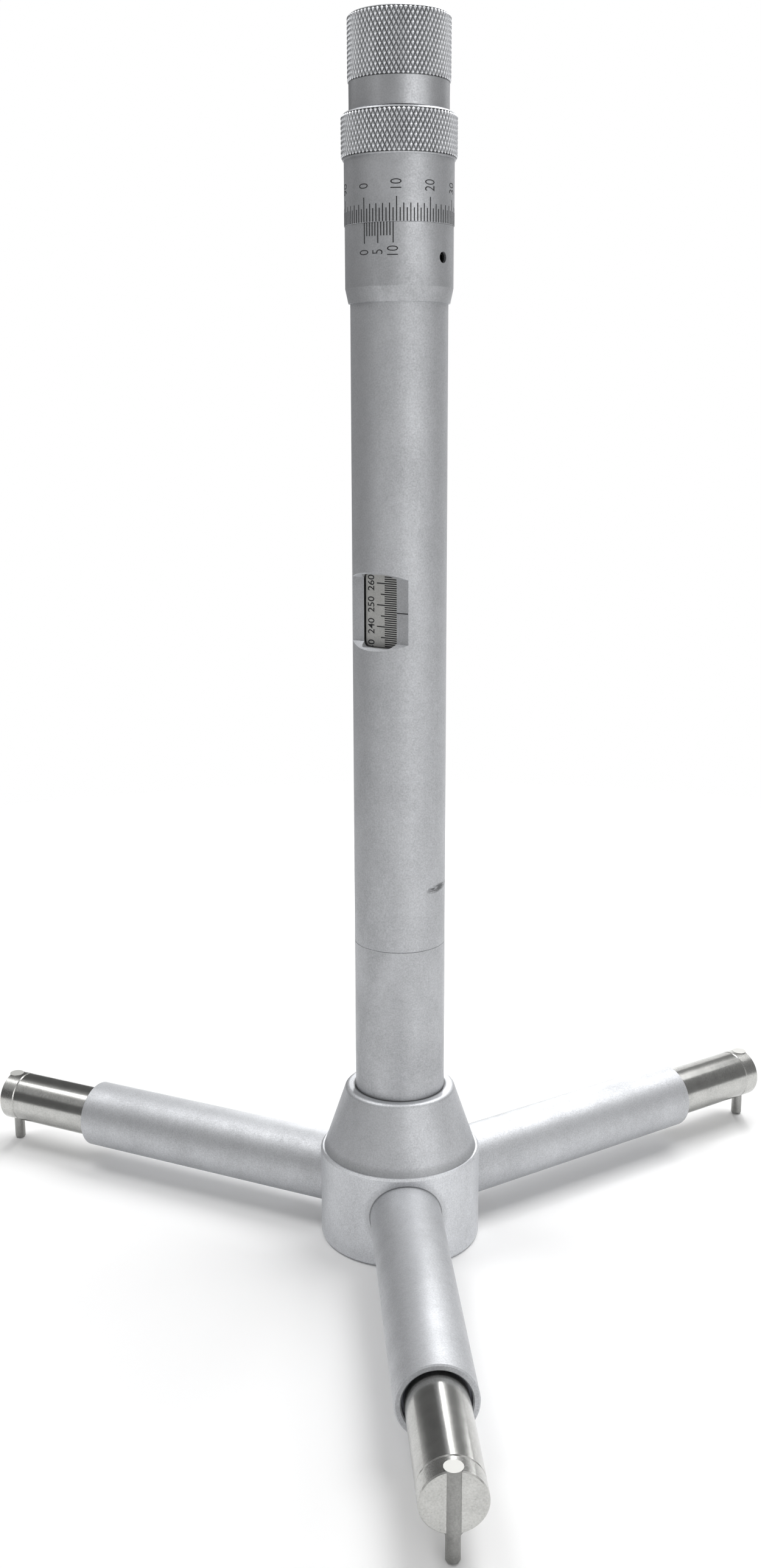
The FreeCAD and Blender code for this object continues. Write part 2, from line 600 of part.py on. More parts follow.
def vernier_lock_screw():
    """Small set screw at the bottom of the spanner hole, with its socket."""
    body = new_body("vernier_lock_screw")
    revolve(body, [
        ("0", "tube_radius + run_gap"),
        ("vernier_hole_radius - run_gap", "tube_radius + run_gap"),
        ("vernier_hole_radius - run_gap", "tube_radius + lock_screw_thick"),
        ("lock_socket_radius", "tube_radius + lock_screw_thick"),
        ("lock_socket_radius", "tube_radius + lock_screw_thick - lock_socket_depth"),
        ("0", "tube_radius + lock_screw_thick - lock_socket_depth")])
    turn = Rotation(Vector(0, 0, 1), size("vernier_hole_turn"))
    body.Placement = Placement(
        Vector(0, 0, size("vernier_hole_height")), turn * Rotation(Vector(1, 0, 0), 90))
    body.setExpression("Placement.Base.z", bound("vernier_hole_height"))
    return body


def bearing_bush():
    """Flanged bearing of the thimble's spindle, in the top of the main tube."""
    return turned_piece("bearing_bush", [
        ("journal_radius + run_gap", "collar_top + face_gap"),
        ("bearing_radius", "collar_top + face_gap"),
        ("bearing_radius", "main_tube_top"), ("bearing_flange_radius", "main_tube_top"),
        ("bearing_flange_radius", "flange_top"), ("journal_radius + run_gap", "flange_top")])


def rod_bush():
    """Lower guide of the drawbar."""
    return turned_piece("rod_bush", [
        ("drawbar_radius + run_gap", "bush_low"), ("lower_tube_bore", "bush_low"),
        ("lower_tube_bore", "bush_top"), ("drawbar_radius + run_gap", "bush_top")])


# Thimble and friction cap.

def thimble():
    """Graduated thimble with its knurled collar."""
    body = new_body("thimble")
    revolve(body, [
        ("journal_radius", "flange_top + face_gap"), ("thimble_boss", "flange_top + face_gap"),
        ("thimble_boss", "thimble_low"),
        ("thimble_radius", "thimble_low"), ("thimble_radius", "grip_low"),
        ("grip_radius", "grip_low"), ("grip_radius", "grip_high"),
        ("thimble_recess", "grip_high"), ("thimble_recess", "thimble_web_top"),
        ("journal_radius", "thimble_web_top")])
    dress(body, "Chamfer", [("grip_radius", "grip_high")], "grip_chamfer", "GripTop")
    dress(body, "Chamfer", [("grip_radius", "grip_low")], "grip_lower_chamfer", "GripBottom")
    return body


def lead_screw():
    """Spindle: left-hand 0.5 mm thread, thrust collar, journal and upper post."""
    return turned_piece("lead_screw", [
        ("0", "screw_low"), ("screw_radius", "screw_low"), ("screw_radius", "collar_low"),
        ("collar_radius", "collar_low"), ("collar_radius", "collar_top"),
        ("journal_radius", "collar_top"), ("journal_radius", "thimble_web_top"),
        ("post_radius", "thimble_web_top"), ("post_radius", "post_top"),
        ("cap_screw_radius", "post_top"),
        ("cap_screw_radius", "washer_top - cap_screw_reach"),
        ("0", "washer_top - cap_screw_reach")])


def thimble_nut():
    """Round nut that clamps the thimble on its spindle."""
    return turned_piece("thimble_nut", [
        ("post_radius", "thimble_web_top"), ("thimble_nut_radius", "thimble_web_top"),
        ("thimble_nut_radius", "thimble_web_top + thimble_nut_thick"),
        ("post_radius", "thimble_web_top + thimble_nut_thick")])


def friction_washer():
    """Washer on the end of the post, over the friction spring."""
    return turned_piece("friction_washer", [
        ("cap_screw_radius", "post_top"), ("washer_radius", "post_top"),
        ("washer_radius", "washer_top"),
        ("cap_screw_radius", "washer_top")])


def friction_screw():
    """Screw that holds the washer down."""
    return turned_piece("friction_screw", [
        ("0", "washer_top - cap_screw_reach"),
        ("cap_screw_radius", "washer_top - cap_screw_reach"),
        ("cap_screw_radius", "washer_top"),
        ("cap_screw_head", "washer_top"),
        ("cap_screw_head", "washer_top + cap_screw_head_thick"),
        ("0", "washer_top + cap_screw_head_thick")])


def friction_cap():
    """Knurled cap that turns the spindle through spring friction."""
    body = new_body("friction_cap")
    revolve(body, [
        ("post_radius + run_gap", "cap_web_low"), ("cap_bore", "cap_web_low"),
        ("cap_bore", "cap_low"), ("cap_neck_radius", "cap_low"),
        ("cap_neck_radius", "cap_knurl_low"), ("cap_knurl_radius", "cap_knurl_low"),
        ("cap_knurl_radius", "cap_high"), ("plug_radius", "cap_high"),
        ("plug_radius", "plug_low"), ("cap_bore", "plug_low"),
        ("cap_bore", "cap_web_top"),
        ("post_radius + run_gap", "cap_web_top")])
    dress(body, "Chamfer", [("cap_knurl_radius", "cap_high")], "cap_chamfer", "TopChamfer")
    return body


def cap_plug():
    """Plug pressed into the top of the friction cap."""
    return turned_piece("cap_plug", [
        ("0", "plug_low"), ("plug_radius", "plug_low"),
        ("plug_radius", "cap_high - plug_sink"), ("0", "cap_high - plug_sink")])


# Rod: scale rod with its bar and nut, drawbar and measuring cone.

def scale_rod():
    """Rod with a flat seat for the scale bar, a nut bore above and a socket below."""
    body = new_body("scale_rod")
    revolve(body, [
        ("drawbar_radius", "rod_low"), ("rod_radius", "rod_low"), ("rod_radius", "rod_high"),
        ("nut_radius", "rod_high"), ("nut_radius", "nut_low"),
        ("screw_radius + free_gap", "nut_low"), ("screw_radius + free_gap", "rod_bore_floor"),
        ("0", "rod_bore_floor"), ("0", "rod_low + drawbar_socket"),
        ("drawbar_radius", "rod_low + drawbar_socket")])
    seat = new_sketch(body, "YZ_Plane", "SeatOutline")
    outline(seat, [
        ("-bar_seat", "bar_low"), ("-main_bore - cut_over", "bar_low"),
        ("-main_bore - cut_over", "bar_high"), ("-bar_seat", "bar_high")])
    pocket(body, seat, "2 * main_bore + cut_over", "BarSeat", both=True)
    holes = new_sketch(body, "XZ_Plane", "ScrewHoleCircles")
    disc(holes, "bar_screw_radius", "0", "bar_low + bar_screw_inset")
    disc(holes, "bar_screw_radius", "0", "bar_high - bar_screw_inset")
    pocket(body, holes, "bar_seat + cut_over", "ScrewHoles", reverse=True)
    set_sizes(body, **{"Placement.Rotation.Angle": "window_turn"})
    return body


def scale_bar():
    """Bar with the main scale; it also keys the rod in the main tube."""
    body = new_body("scale_bar")
    sketch = new_sketch(body, "XY_Plane", "BarSection", "bar_low")
    outline(sketch, [
        ("-bar_half_width", "-bar_face"), ("bar_half_width", "-bar_face"),
        ("bar_half_width", "-bar_seat"), ("-bar_half_width", "-bar_seat")])
    bar = body.newObject("PartDesign::Pad", "Bar")
    bar.Profile = sketch
    set_sizes(bar, Length="bar_high - bar_low")
    for end, height in (("Low", "bar_low + bar_screw_inset"),
                        ("High", "bar_high - bar_screw_inset")):
        hole = new_sketch(body, "XZ_Plane", end + "HoleCircle")
        disc(hole, "bar_screw_radius", "0", height)
        pocket(body, hole, "bar_face + cut_over", end + "Hole", reverse=True)
        sink = new_sketch(body, "XZ_Plane", end + "SinkCircle", "bar_face - bar_screw_radius")
        disc(sink, "bar_screw_head", "0", height)
        pocket(body, sink, "2 * bar_screw_radius", end + "Sink", reverse=True)
    set_sizes(body, **{"Placement.Rotation.Angle": "window_turn"})
    return body


def bar_screw(label, height):
    """Screw of the scale bar, its head sunk below the bar's face."""
    body = new_body(label)
    revolve(body, [
        ("0", "0"), ("bar_screw_radius", "0"),
        ("bar_screw_radius", "bar_face - bar_screw_radius"),
        ("bar_screw_head", "bar_face - bar_screw_radius"),
        ("bar_screw_head", "bar_face - bar_screw_radius / 4"),
        ("0", "bar_face - bar_screw_radius / 4")])
    outwards = Rotation(Vector(0, 0, 1), size("window_turn")) * Rotation(Vector(1, 0, 0), 90)
    body.Placement = Placement(Vector(0, 0, value_of(height)), outwards)
    body.setExpression("Placement.Base.z", bound(height))
    return body


def rod_nut():
    """Bronze nut pressed into the scale rod; the lead screw turns in it."""
    return turned_piece("rod_nut", [
        ("screw_radius + run_gap", "nut_low"), ("nut_radius", "nut_low"),
        ("nut_radius", "rod_high"), ("screw_radius + run_gap", "rod_high")])


def drawbar():
    """Bar from the scale rod down to the measuring cone."""
    return turned_piece("drawbar", [
        ("0", "cone_back"), ("drawbar_radius", "cone_back"),
        ("drawbar_radius", "rod_low + drawbar_socket"), ("0", "rod_low + drawbar_socket")])


def measuring_cone():
    """Hardened 45 degree cone that drives the three ball noses."""
    return turned_piece("measuring_cone", [
        ("0", "cone_low"), ("cone_tip_radius", "cone_low"), ("cone_top_radius", "cone_top"),
        ("cone_top_radius", "cone_back"), ("cone_neck", "cone_back"),
        ("cone_neck", "cone_back + cone_neck_length"),
        ("drawbar_radius", "cone_back + cone_neck_length"), ("drawbar_radius", "cone_back"),
        ("0", "cone_back")])


# Arms. Each piece is made along +Z, its distance from the axis, and then laid outwards,
# so that its own +X points down.

def lay_out(body, arm):
    """Turns a piece made along +Z outwards along an arm."""
    outwards = Rotation(Vector(0, 0, 1), ARMS[arm]) * Rotation(Vector(0, 1, 0), 90)
    body.Placement = Placement(Vector(0, 0, size("arm_axis_height")), outwards)
    body.setExpression("Placement.Base.z", bound("arm_axis_height"))
    return body


def arm_sleeve(arm):
    """Sleeve screwed into the hub, with the tapped hole of its guide screw."""
    body = new_body("arm_sleeve_" + arm)
    revolve(body, [
        ("sleeve_bore", "sleeve_inner"), ("sleeve_radius", "sleeve_inner"),
        ("sleeve_radius", "sleeve_outer"), ("sleeve_bore", "sleeve_outer")])
    dress(body, "Chamfer", [("sleeve_radius", "sleeve_outer"), ("sleeve_bore", "sleeve_outer")],
          "sleeve_chamfer", "EndChamfers")
    hole = new_sketch(body, "YZ_Plane", "KeyHoleCircle")
    disc(hole, "key_head_radius", "0", "key_place")
    pocket(body, hole, "sleeve_radius + free_gap", "KeyHole", reverse=True)
    return lay_out(body, arm)


def plunger_bush(arm):
    """Bush that guides the plunger near the sleeve's mouth."""
    return lay_out(turned_piece("plunger_bush_" + arm, [
        ("bushing_bore", "bushing_inner"), ("sleeve_bore", "bushing_inner"),
        ("sleeve_bore", "bushing_outer"),
        ("bushing_bore", "bushing_outer")]), arm)


def spring_stop(arm):
    """Ring in the sleeve that takes the outer end of the return spring."""
    return lay_out(turned_piece("spring_stop_" + arm, [
        ("shaft_radius + run_gap", "stop_inner"), ("sleeve_bore", "stop_inner"),
        ("sleeve_bore", "stop_outer"),
        ("shaft_radius + run_gap", "stop_outer")]), arm)


def guide_screw(arm):
    """Screw under the sleeve whose tip runs in the guide's slot."""
    body = new_body("guide_screw_" + arm)
    revolve(body, [
        ("0", "key_slot_floor + free_gap"), ("key_radius", "key_slot_floor + free_gap"),
        ("key_radius", "sleeve_bore"), ("key_head_radius", "sleeve_bore"),
        ("key_head_radius", "sleeve_radius - free_gap"), ("0", "sleeve_radius - free_gap")])
    outwards = Rotation(Vector(0, 0, 1), ARMS[arm])
    place = outwards.multVec(Vector(size("key_place"), 0, size("arm_axis_height")))
    body.Placement = Placement(place, outwards * Rotation(Vector(0, 1, 0), 180))
    turn = math.radians(ARMS[arm])
    set_sizes(body, **{
        "Placement.Base.x": "key_place * %.9f" % math.cos(turn),
        "Placement.Base.y": "key_place * %.9f" % math.sin(turn),
        "Placement.Base.z": "arm_axis_height"})
    return body


def push_shaft(arm):
    """Guide with its slot, shaft and threaded spigot of the plunger."""
    body = new_body("push_shaft_" + arm)
    revolve(body, [
        ("0", "guide_inner + nose_socket"), ("nose_radius", "guide_inner + nose_socket"),
        ("nose_radius", "guide_inner"), ("guide_radius", "guide_inner"),
        ("guide_radius", "guide_outer"), ("shaft_radius", "guide_outer"),
        ("shaft_radius", "plunger_inner"), ("plunger_spigot", "plunger_inner"),
        ("plunger_spigot", "plunger_inner + plunger_spigot_length"),
        ("0", "plunger_inner + plunger_spigot_length")])
    slot = new_sketch(body, "YZ_Plane", "SlotOutline", "key_slot_floor")
    wall = "key_radius + run_gap"
    low = "key_place - travel_out - key_radius - free_gap"
    high = "key_place + travel_in + key_radius + free_gap"
    outline(slot, [
        ("-%s" % wall.replace("+", "-"), low), (wall, low), (wall, high),
        ("-%s" % wall.replace("+", "-"), high)])
    pocket(body, slot, "sleeve_bore - key_slot_floor + free_gap", "GuideSlot", reverse=True)
    return lay_out(body, arm)


def nose_pin(arm):
    """Hardened pin with the ball nose that rides on the measuring cone."""
    body = new_body("nose_pin_" + arm)
    revolve(body, [
        ("0", "nose_centre + nose_gap"), ("nose_radius", "nose_centre + nose_gap"),
        ("nose_radius", "guide_inner + nose_socket"), ("0", "guide_inner + nose_socket")])
    ball = body.newObject("PartDesign::AdditiveSphere", "Ball")
    set_sizes(ball, Radius="nose_radius")
    ball.AttachmentSupport = [(plane_of(body, "XY_Plane"), "")]
    ball.MapMode = "FlatFace"
    ball.setExpression("AttachmentOffset.Base.z", bound("nose_centre + nose_gap"))
    return lay_out(body, arm)


def plunger(arm):
    """Outer part of the plunger, tapped at both ends."""
    body = new_body("plunger_" + arm)
    revolve(body, [
        ("0", "plunger_inner + plunger_spigot_length"),
        ("plunger_spigot", "plunger_inner + plunger_spigot_length"),
        ("plunger_spigot", "plunger_inner"), ("plunger_radius", "plunger_inner"),
        ("plunger_radius", "head_inner"), ("plunger_spigot", "head_inner"),
        ("plunger_spigot", "head_inner - plunger_spigot_length"),
        ("0", "head_inner - plunger_spigot_length")])
    dress(body, "Chamfer", [("plunger_radius", "head_inner"), ("plunger_radius", "plunger_inner")],
          "head_edge", "BrokenEdges")
    return lay_out(body, arm)


def anvil_head(arm):
    """Head that holds the contact pin, screwed into the plunger."""
    body = new_body("anvil_head_" + arm)
    revolve(body, [
        ("0", "head_inner - plunger_spigot_length"),
        ("plunger_spigot", "head_inner - plunger_spigot_length"),
        ("plunger_spigot", "head_inner"), ("plunger_radius", "head_inner"),
        ("plunger_radius", "anvil_face"), ("0", "anvil_face")])
    dress(body, "Chamfer", [("plunger_radius", "head_inner"), ("plunger_radius", "anvil_face")],
          "head_edge", "BrokenEdges")
    hole = new_sketch(body, "YZ_Plane", "PinHoleCircle")
    disc(hole, "pin_radius", "0", "pin_centre")
    pocket(body, hole, "2 * (plunger_radius + cut_over)", "PinHole", both=True)
    return lay_out(body, arm)


def contact_pin(arm):
    """Contact pin across the anvil head, with its slimmer free end below."""
    body = new_body("contact_pin_" + arm)
    revolve(body, [
        ("0", "pin_floor"), ("pin_tip_radius", "pin_floor"),
        ("pin_tip_radius", "arm_axis_height - plunger_radius - pin_round"),
        ("pin_radius", "arm_axis_height - plunger_radius"),
        ("pin_radius", "arm_axis_height + plunger_radius + pin_proud"),
        ("0", "arm_axis_height + plunger_radius + pin_proud")])
    dress(body, "Fillet", [("pin_tip_radius", "pin_floor")], "pin_round", "TipRound")
    turn = math.radians(ARMS[arm])
    set_sizes(body, **{
        "Placement.Base.x": "pin_centre * %.9f" % math.cos(turn),
        "Placement.Base.y": "pin_centre * %.9f" % math.sin(turn)})
    return body


def coil_spring(label, coil, wire, length, turns):
    """Coil spring from height zero, swept along short chords of its helix."""
    rise = length - 2 * wire
    steps = turns * CHORDS_PER_TURN
    corners = []
    for step in range(steps + 1):
        turn = math.tau * step / CHORDS_PER_TURN
        corners.append(Vector(coil * math.cos(turn), coil * math.sin(turn),
                              wire + rise * step / steps))
    path = Part.makePolygon(corners)
    section = []
    for side in range(WIRE_SIDES + 1):
        turn = math.tau * side / WIRE_SIDES
        section.append(Vector(wire * math.cos(turn), 0, wire * math.sin(turn)))
    frame = Rotation(Vector(0, 1, 0), corners[1] - corners[0])
    ring = Part.makePolygon([corners[0] + frame.multVec(point) for point in section])
    spring = DOC.addObject("Part::Feature", label.title().replace("_", ""))
    spring.Label = label
    spring.Shape = path.makePipeShell([ring], True, True, 1)
    return spring


def return_spring(arm):
    """Return spring of a plunger, drawn at its shortest length."""
    low = value_of("guide_outer + travel_out + free_gap")
    spring = coil_spring("return_spring_" + arm, size("return_coil"), size("return_wire"),
                         size("stop_inner") - low, RETURN_TURNS)
    outwards = Rotation(Vector(0, 0, 1), ARMS[arm]) * Rotation(Vector(0, 1, 0), 90)
    place = outwards.multVec(Vector(0, 0, low)) + Vector(0, 0, size("arm_axis_height"))
    spring.Placement = Placement(place, outwards)
    return spring


def friction_spring():
    """Spring that presses the friction cap onto the thimble."""
    low = value_of("cap_web_top + face_gap")
    spring = coil_spring("friction_spring", size("friction_coil"), size("friction_wire"),
                         size("post_top") - low, FRICTION_TURNS)
    spring.Placement = Placement(Vector(0, 0, low), Rotation())
    return spring


keep(hub_body())
keep(hub_cover())
for screw_number in range(len(ARMS)):
    keep(cover_screw(screw_number))
keep(hub_cone())
keep(tube_lower())
keep(tube_main())
keep(vernier_sleeve())
keep(vernier_lock_screw())
keep(bearing_bush())
keep(rod_bush())
keep(thimble())
keep(lead_screw())
keep(thimble_nut())
keep(friction_washer())
keep(friction_screw())
keep(friction_spring())
keep(friction_cap())
keep(cap_plug())
keep(scale_rod())
keep(scale_bar())
keep(bar_screw("bar_screw_low", "bar_low + bar_screw_inset"))
keep(bar_screw("bar_screw_high", "bar_high - bar_screw_inset"))
keep(rod_nut())
keep(drawbar())
keep(measuring_cone())
for arm_name in ARMS:
    keep(arm_sleeve(arm_name))
    keep(plunger_bush(arm_name))
    keep(spring_stop(arm_name))
    keep(guide_screw(arm_name))
    keep(return_spring(arm_name))
    keep(push_shaft(arm_name))
    keep(nose_pin(arm_name))
    keep(plunger(arm_name))
    keep(anvil_head(arm_name))
    keep(contact_pin(arm_name))

DOC.recompute()
faulty = [thing.Label for thing in DOC.Objects if {"Invalid", "Error"} & set(thing.State)]
if faulty:
    raise RuntimeError("objects with errors: " + ", ".join(faulty))
for node in NODES:
    if node.Shape.isNull() or not node.Shape.isValid() or not node.Shape.Solids:
        raise RuntimeError("unsound shape: " + node.Label)

os.makedirs("parts", exist_ok=True)
for node in NODES:
    node.Shape.exportStep("parts/%s.step" % node.Label)
print(len(NODES), "pieces written")
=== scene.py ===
"""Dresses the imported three-point inside micrometer and sets its stage.

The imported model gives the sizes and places. This script adds what Blender is for: the
knurled grips, the graduations, the drives of the small screws, the finish of every
surface, and a plain pale stage with the camera at the photograph's angle.
"""

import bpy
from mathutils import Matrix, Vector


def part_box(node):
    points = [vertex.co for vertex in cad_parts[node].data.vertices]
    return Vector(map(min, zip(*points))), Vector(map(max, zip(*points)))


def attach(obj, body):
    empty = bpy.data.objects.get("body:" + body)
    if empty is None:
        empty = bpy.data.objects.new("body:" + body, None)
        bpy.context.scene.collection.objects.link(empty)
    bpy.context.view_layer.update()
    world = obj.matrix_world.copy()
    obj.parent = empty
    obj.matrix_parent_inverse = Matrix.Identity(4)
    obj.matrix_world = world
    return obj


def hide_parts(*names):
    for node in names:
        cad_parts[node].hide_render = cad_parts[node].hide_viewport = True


bl_info = {
    "name": "Three-point inside micrometer",
    "version": (1, 0, 0),
    "blender": (4, 5, 0),
    "location": "View3D > Sidebar > Micrometer",
    "description": "Knurls, graduations, finishes and stage for an inside micrometer",
    "category": "Add Mesh",
}

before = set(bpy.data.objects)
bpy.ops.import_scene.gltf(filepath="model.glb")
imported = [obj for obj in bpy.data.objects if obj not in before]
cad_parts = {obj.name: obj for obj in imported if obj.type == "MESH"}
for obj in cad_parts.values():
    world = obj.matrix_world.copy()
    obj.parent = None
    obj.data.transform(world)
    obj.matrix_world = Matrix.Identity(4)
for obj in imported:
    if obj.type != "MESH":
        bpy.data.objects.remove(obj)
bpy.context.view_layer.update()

import math

import bpy
from bpy.props import FloatProperty, FloatVectorProperty, PointerProperty
from bpy.types import Operator, Panel, PropertyGroup
from mathutils import Matrix, Vector

MM = 0.001

# Directions of the arms, in degrees about +Z.
ARMS = {"front": -90.0, "right": 30.0, "left": 150.0}


def top_of(node):
    """Highest point of a CAD node."""
    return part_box(node)[1].z


def foot_of(node):
    """Lowest point of a CAD node."""
    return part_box(node)[0].z


def radius_of(node):
    """Largest radius of a CAD node about the tube's axis."""
    return max(v.co.xy.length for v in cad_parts[node].data.vertices)


# Places read from the frame, in metres.
THIMBLE_LOW = foot_of("thimble")
THIMBLE_TOP = top_of("thimble")
VERNIER_TOP = top_of("vernier_sleeve")
VERNIER_RADIUS = radius_of("vernier_sleeve")
CAP_LOW = foot_of("friction_cap")
CAP_TOP = top_of("friction_cap")
CAP_RADIUS = radius_of("friction_cap")
GRIP_RADIUS = radius_of("thimble")
TUBE_RADIUS = radius_of("tube_lower")
CONE_RADIUS = radius_of("hub_cone")
ARM_HEIGHT = (top_of("arm_sleeve_front") + foot_of("arm_sleeve_front")) / 2
SLEEVE_RADIUS = (top_of("arm_sleeve_front") - foot_of("arm_sleeve_front")) / 2

# Insides of the two turned grips, in millimetres: radius and height above the lowest edge.
CAP_INSIDE = [
    (9.4, 19.6), (9.4, 16.0), (8.6, 16.0), (8.6, 5.4), (4.03, 5.4), (4.03, 2.4), (8.6, 2.4),
    (8.6, 0.0)]
THIMBLE_INSIDE = [(9.6, 25.7), (9.6, 17.4), (5.0, 17.4), (5.0, 0.0), (8.0, 0.0), (8.0, 2.35)]

# Inside this radius the tube's bore is painted dark as shade, in millimetres.
TUBE_BORE = 8.93

# Smudge on the tube, in millimetres: its middle, the squares of its half width and half
# height, and how much it rises to the right.
SMUDGE_ACROSS, SMUDGE_HEIGHT = 8.4, 93.1
SMUDGE_WIDE, SMUDGE_HIGH = 8.5, 1.3
SMUDGE_SLOPE = 0.08

# Text size for a figure one unit high; width and weight of the figures on thimble and
# vernier, and of those on the scale.
FIGURE_SIZE = 1.42
BARREL_FIGURE = (0.72, -0.03 * MM)
SCALE_FIGURE = (0.98, 0.02 * MM)

# Floor: radius in metres, then where it starts to fade and over what width, in millimetres.
FLOOR_RADIUS = 1.6
FADE_START, FADE_WIDTH = 280.0, 220.0

# Point near the object's middle, for lamps and cards to look at.
MIDDLE = (0, 0, 0.12)

# Lamps: place, target, width, height and power.
LAMPS = {
    "overhead": ((0.38, 0.25, 0.95), (0.05, 0, 0.05), 0.6, 0.6, 6.0),
    "overhead_left": ((-0.45, 0.15, 0.95), (-0.05, 0, 0.05), 0.35, 0.5, 3.0),
    "strip": ((0.14, 0.80, 0.38), (0, -0.05, 0.05), 0.08, 0.5, 1.6),
    "strip_right": ((0.66, 0.74, 0.33), (0, -0.05, 0.05), 0.03, 0.5, 0.30),
    "front": ((0.34, -0.90, 0.30), MIDDLE, 0.5, 0.5, 0.9),
}

# Cards around the object: place, width, height and shade.
CARDS = {
    "card_left": ((-0.78, 0.10, 0.18), 1.2, 0.58, 0.11),
    "card_left_high": ((-0.75, 0.10, 0.75), 1.2, 0.5, 0.46),
    "card_front_left": ((-0.62, -0.85, 0.48), 0.7, 0.9, 0.30),
    "card_front": ((0.0, -1.05, 0.48), 0.62, 0.9, 0.30),
    "card_right": ((0.85, 0.05, 0.25), 1.0, 0.44, 0.22),
    "card_right_high": ((0.82, 0.05, 0.75), 1.0, 0.5, 0.26),
    "card_back": ((-0.34, 0.95, 0.36), 0.8, 1.08, 0.12),
    "card_back_right": ((0.66, 0.85, 0.46), 0.6, 0.88, 0.26),
    "card_above_back": ((-0.35, 0.62, 1.05), 0.9, 0.7, 0.22),
    "card_above": ((-0.42, -0.50, 1.10), 0.75, 0.8, 0.42),
    "card_above_right": ((0.35, -0.50, 1.10), 0.75, 0.8, 0.24),
}

# Finish of each node, by the start of its name; the longest start that fits counts.
NODE_FINISH = {
    "tube_main": "tube", "tube_lower": "satin", "vernier_sleeve": "satin",
    "vernier_lock_screw": "dark", "hub_body": "hub",
    "hub_cone": "cone", "hub_cover": "satin", "cap_plug": "plug", "thimble": "satin",
    "friction_cap": "satin", "scale_bar": "scale", "scale_rod": "rod", "lead_screw": "rod",
    "drawbar": "rod", "measuring_cone": "rod", "bearing_bush": "bronze", "rod_bush": "bronze",
    "rod_nut": "bronze", "thimble_nut": "screw", "friction_washer": "screw",
    "friction_screw": "screw", "friction_spring": "spring", "cover_screw": "screw",
    "bar_screw": "screw", "arm_sleeve": "sleeve", "plunger_bush": "bush",
    "spring_stop": "screw", "guide_screw": "screw", "return_spring": "spring",
    "push_shaft": "rod", "nose_pin": "rod", "contact_pin": "pin",
}


class MicrometerForms(PropertyGroup):
    """Sizes of what the scene adds to the frame."""

    thimble_radius: FloatProperty(
        name="Thimble radius", description="Graduated part of the thimble",
        default=12.2 * MM, unit="LENGTH", precision=5)
    neck_radius: FloatProperty(
        name="Neck radius", description="Plain neck of the friction cap",
        default=11.05 * MM, unit="LENGTH", precision=5)
    neck_height: FloatProperty(
        name="Neck height", description="Height of the cap's plain neck",
        default=5.6 * MM, unit="LENGTH", precision=5)
    grip_height: FloatProperty(
        name="Collar height", description="Height of the thimble's knurled collar",
        default=9.6 * MM, unit="LENGTH", precision=5)
    knurl_depth: FloatProperty(
        name="Knurl depth", description="From the valleys to the points of the knurl",
        default=0.36 * MM, unit="LENGTH", precision=5)
    knurl_pitch: FloatProperty(
        name="Knurl pitch", description="Distance between two points around the grip",
        default=1.06 * MM, unit="LENGTH", precision=5)
    knurl_rise: FloatProperty(
        name="Knurl rise", description="Distance between two points along the grip",
        default=1.76 * MM, unit="LENGTH", precision=5)
    knurl_flat: FloatProperty(
        name="Knurl flat", description="Blunt tip of a knurl point, as a share of the pitch",
        default=0.16, min=0.0, max=0.4)
    knurl_end: FloatProperty(
        name="Knurl end", description="First and last row of a knurl, as a share of a row",
        default=0.4, min=0.1, max=1.0)
    knurl_edge: FloatProperty(
        name="Knurl edge", description="Slope at the lower end of a knurl",
        default=0.3 * MM, unit="LENGTH", precision=5)
    cap_round: FloatProperty(
        name="Cap round", description="How far the cap's rim draws in at its top",
        default=0.1 * MM, unit="LENGTH", precision=5)
    collar_chamfer: FloatProperty(
        name="Collar chamfer", description="Plain chamfer on top of the knurled collar",
        default=0.4 * MM, unit="LENGTH", precision=5)
    window_turn: FloatProperty(
        name="Window", description="Direction of the scale window, from the front",
        default=math.radians(-40.0), subtype="ANGLE")
    window_flat: FloatProperty(
        name="Window flat", description="Window flat from the tube's axis",
        default=7.65 * MM, unit="LENGTH", precision=5)
    bar_face: FloatProperty(
        name="Bar face", description="Face of the scale bar from the tube's axis",
        default=7.15 * MM, unit="LENGTH", precision=5)
    index_height: FloatProperty(
        name="Index line", description="Height of the index line",
        default=159.35 * MM, unit="LENGTH", precision=5)


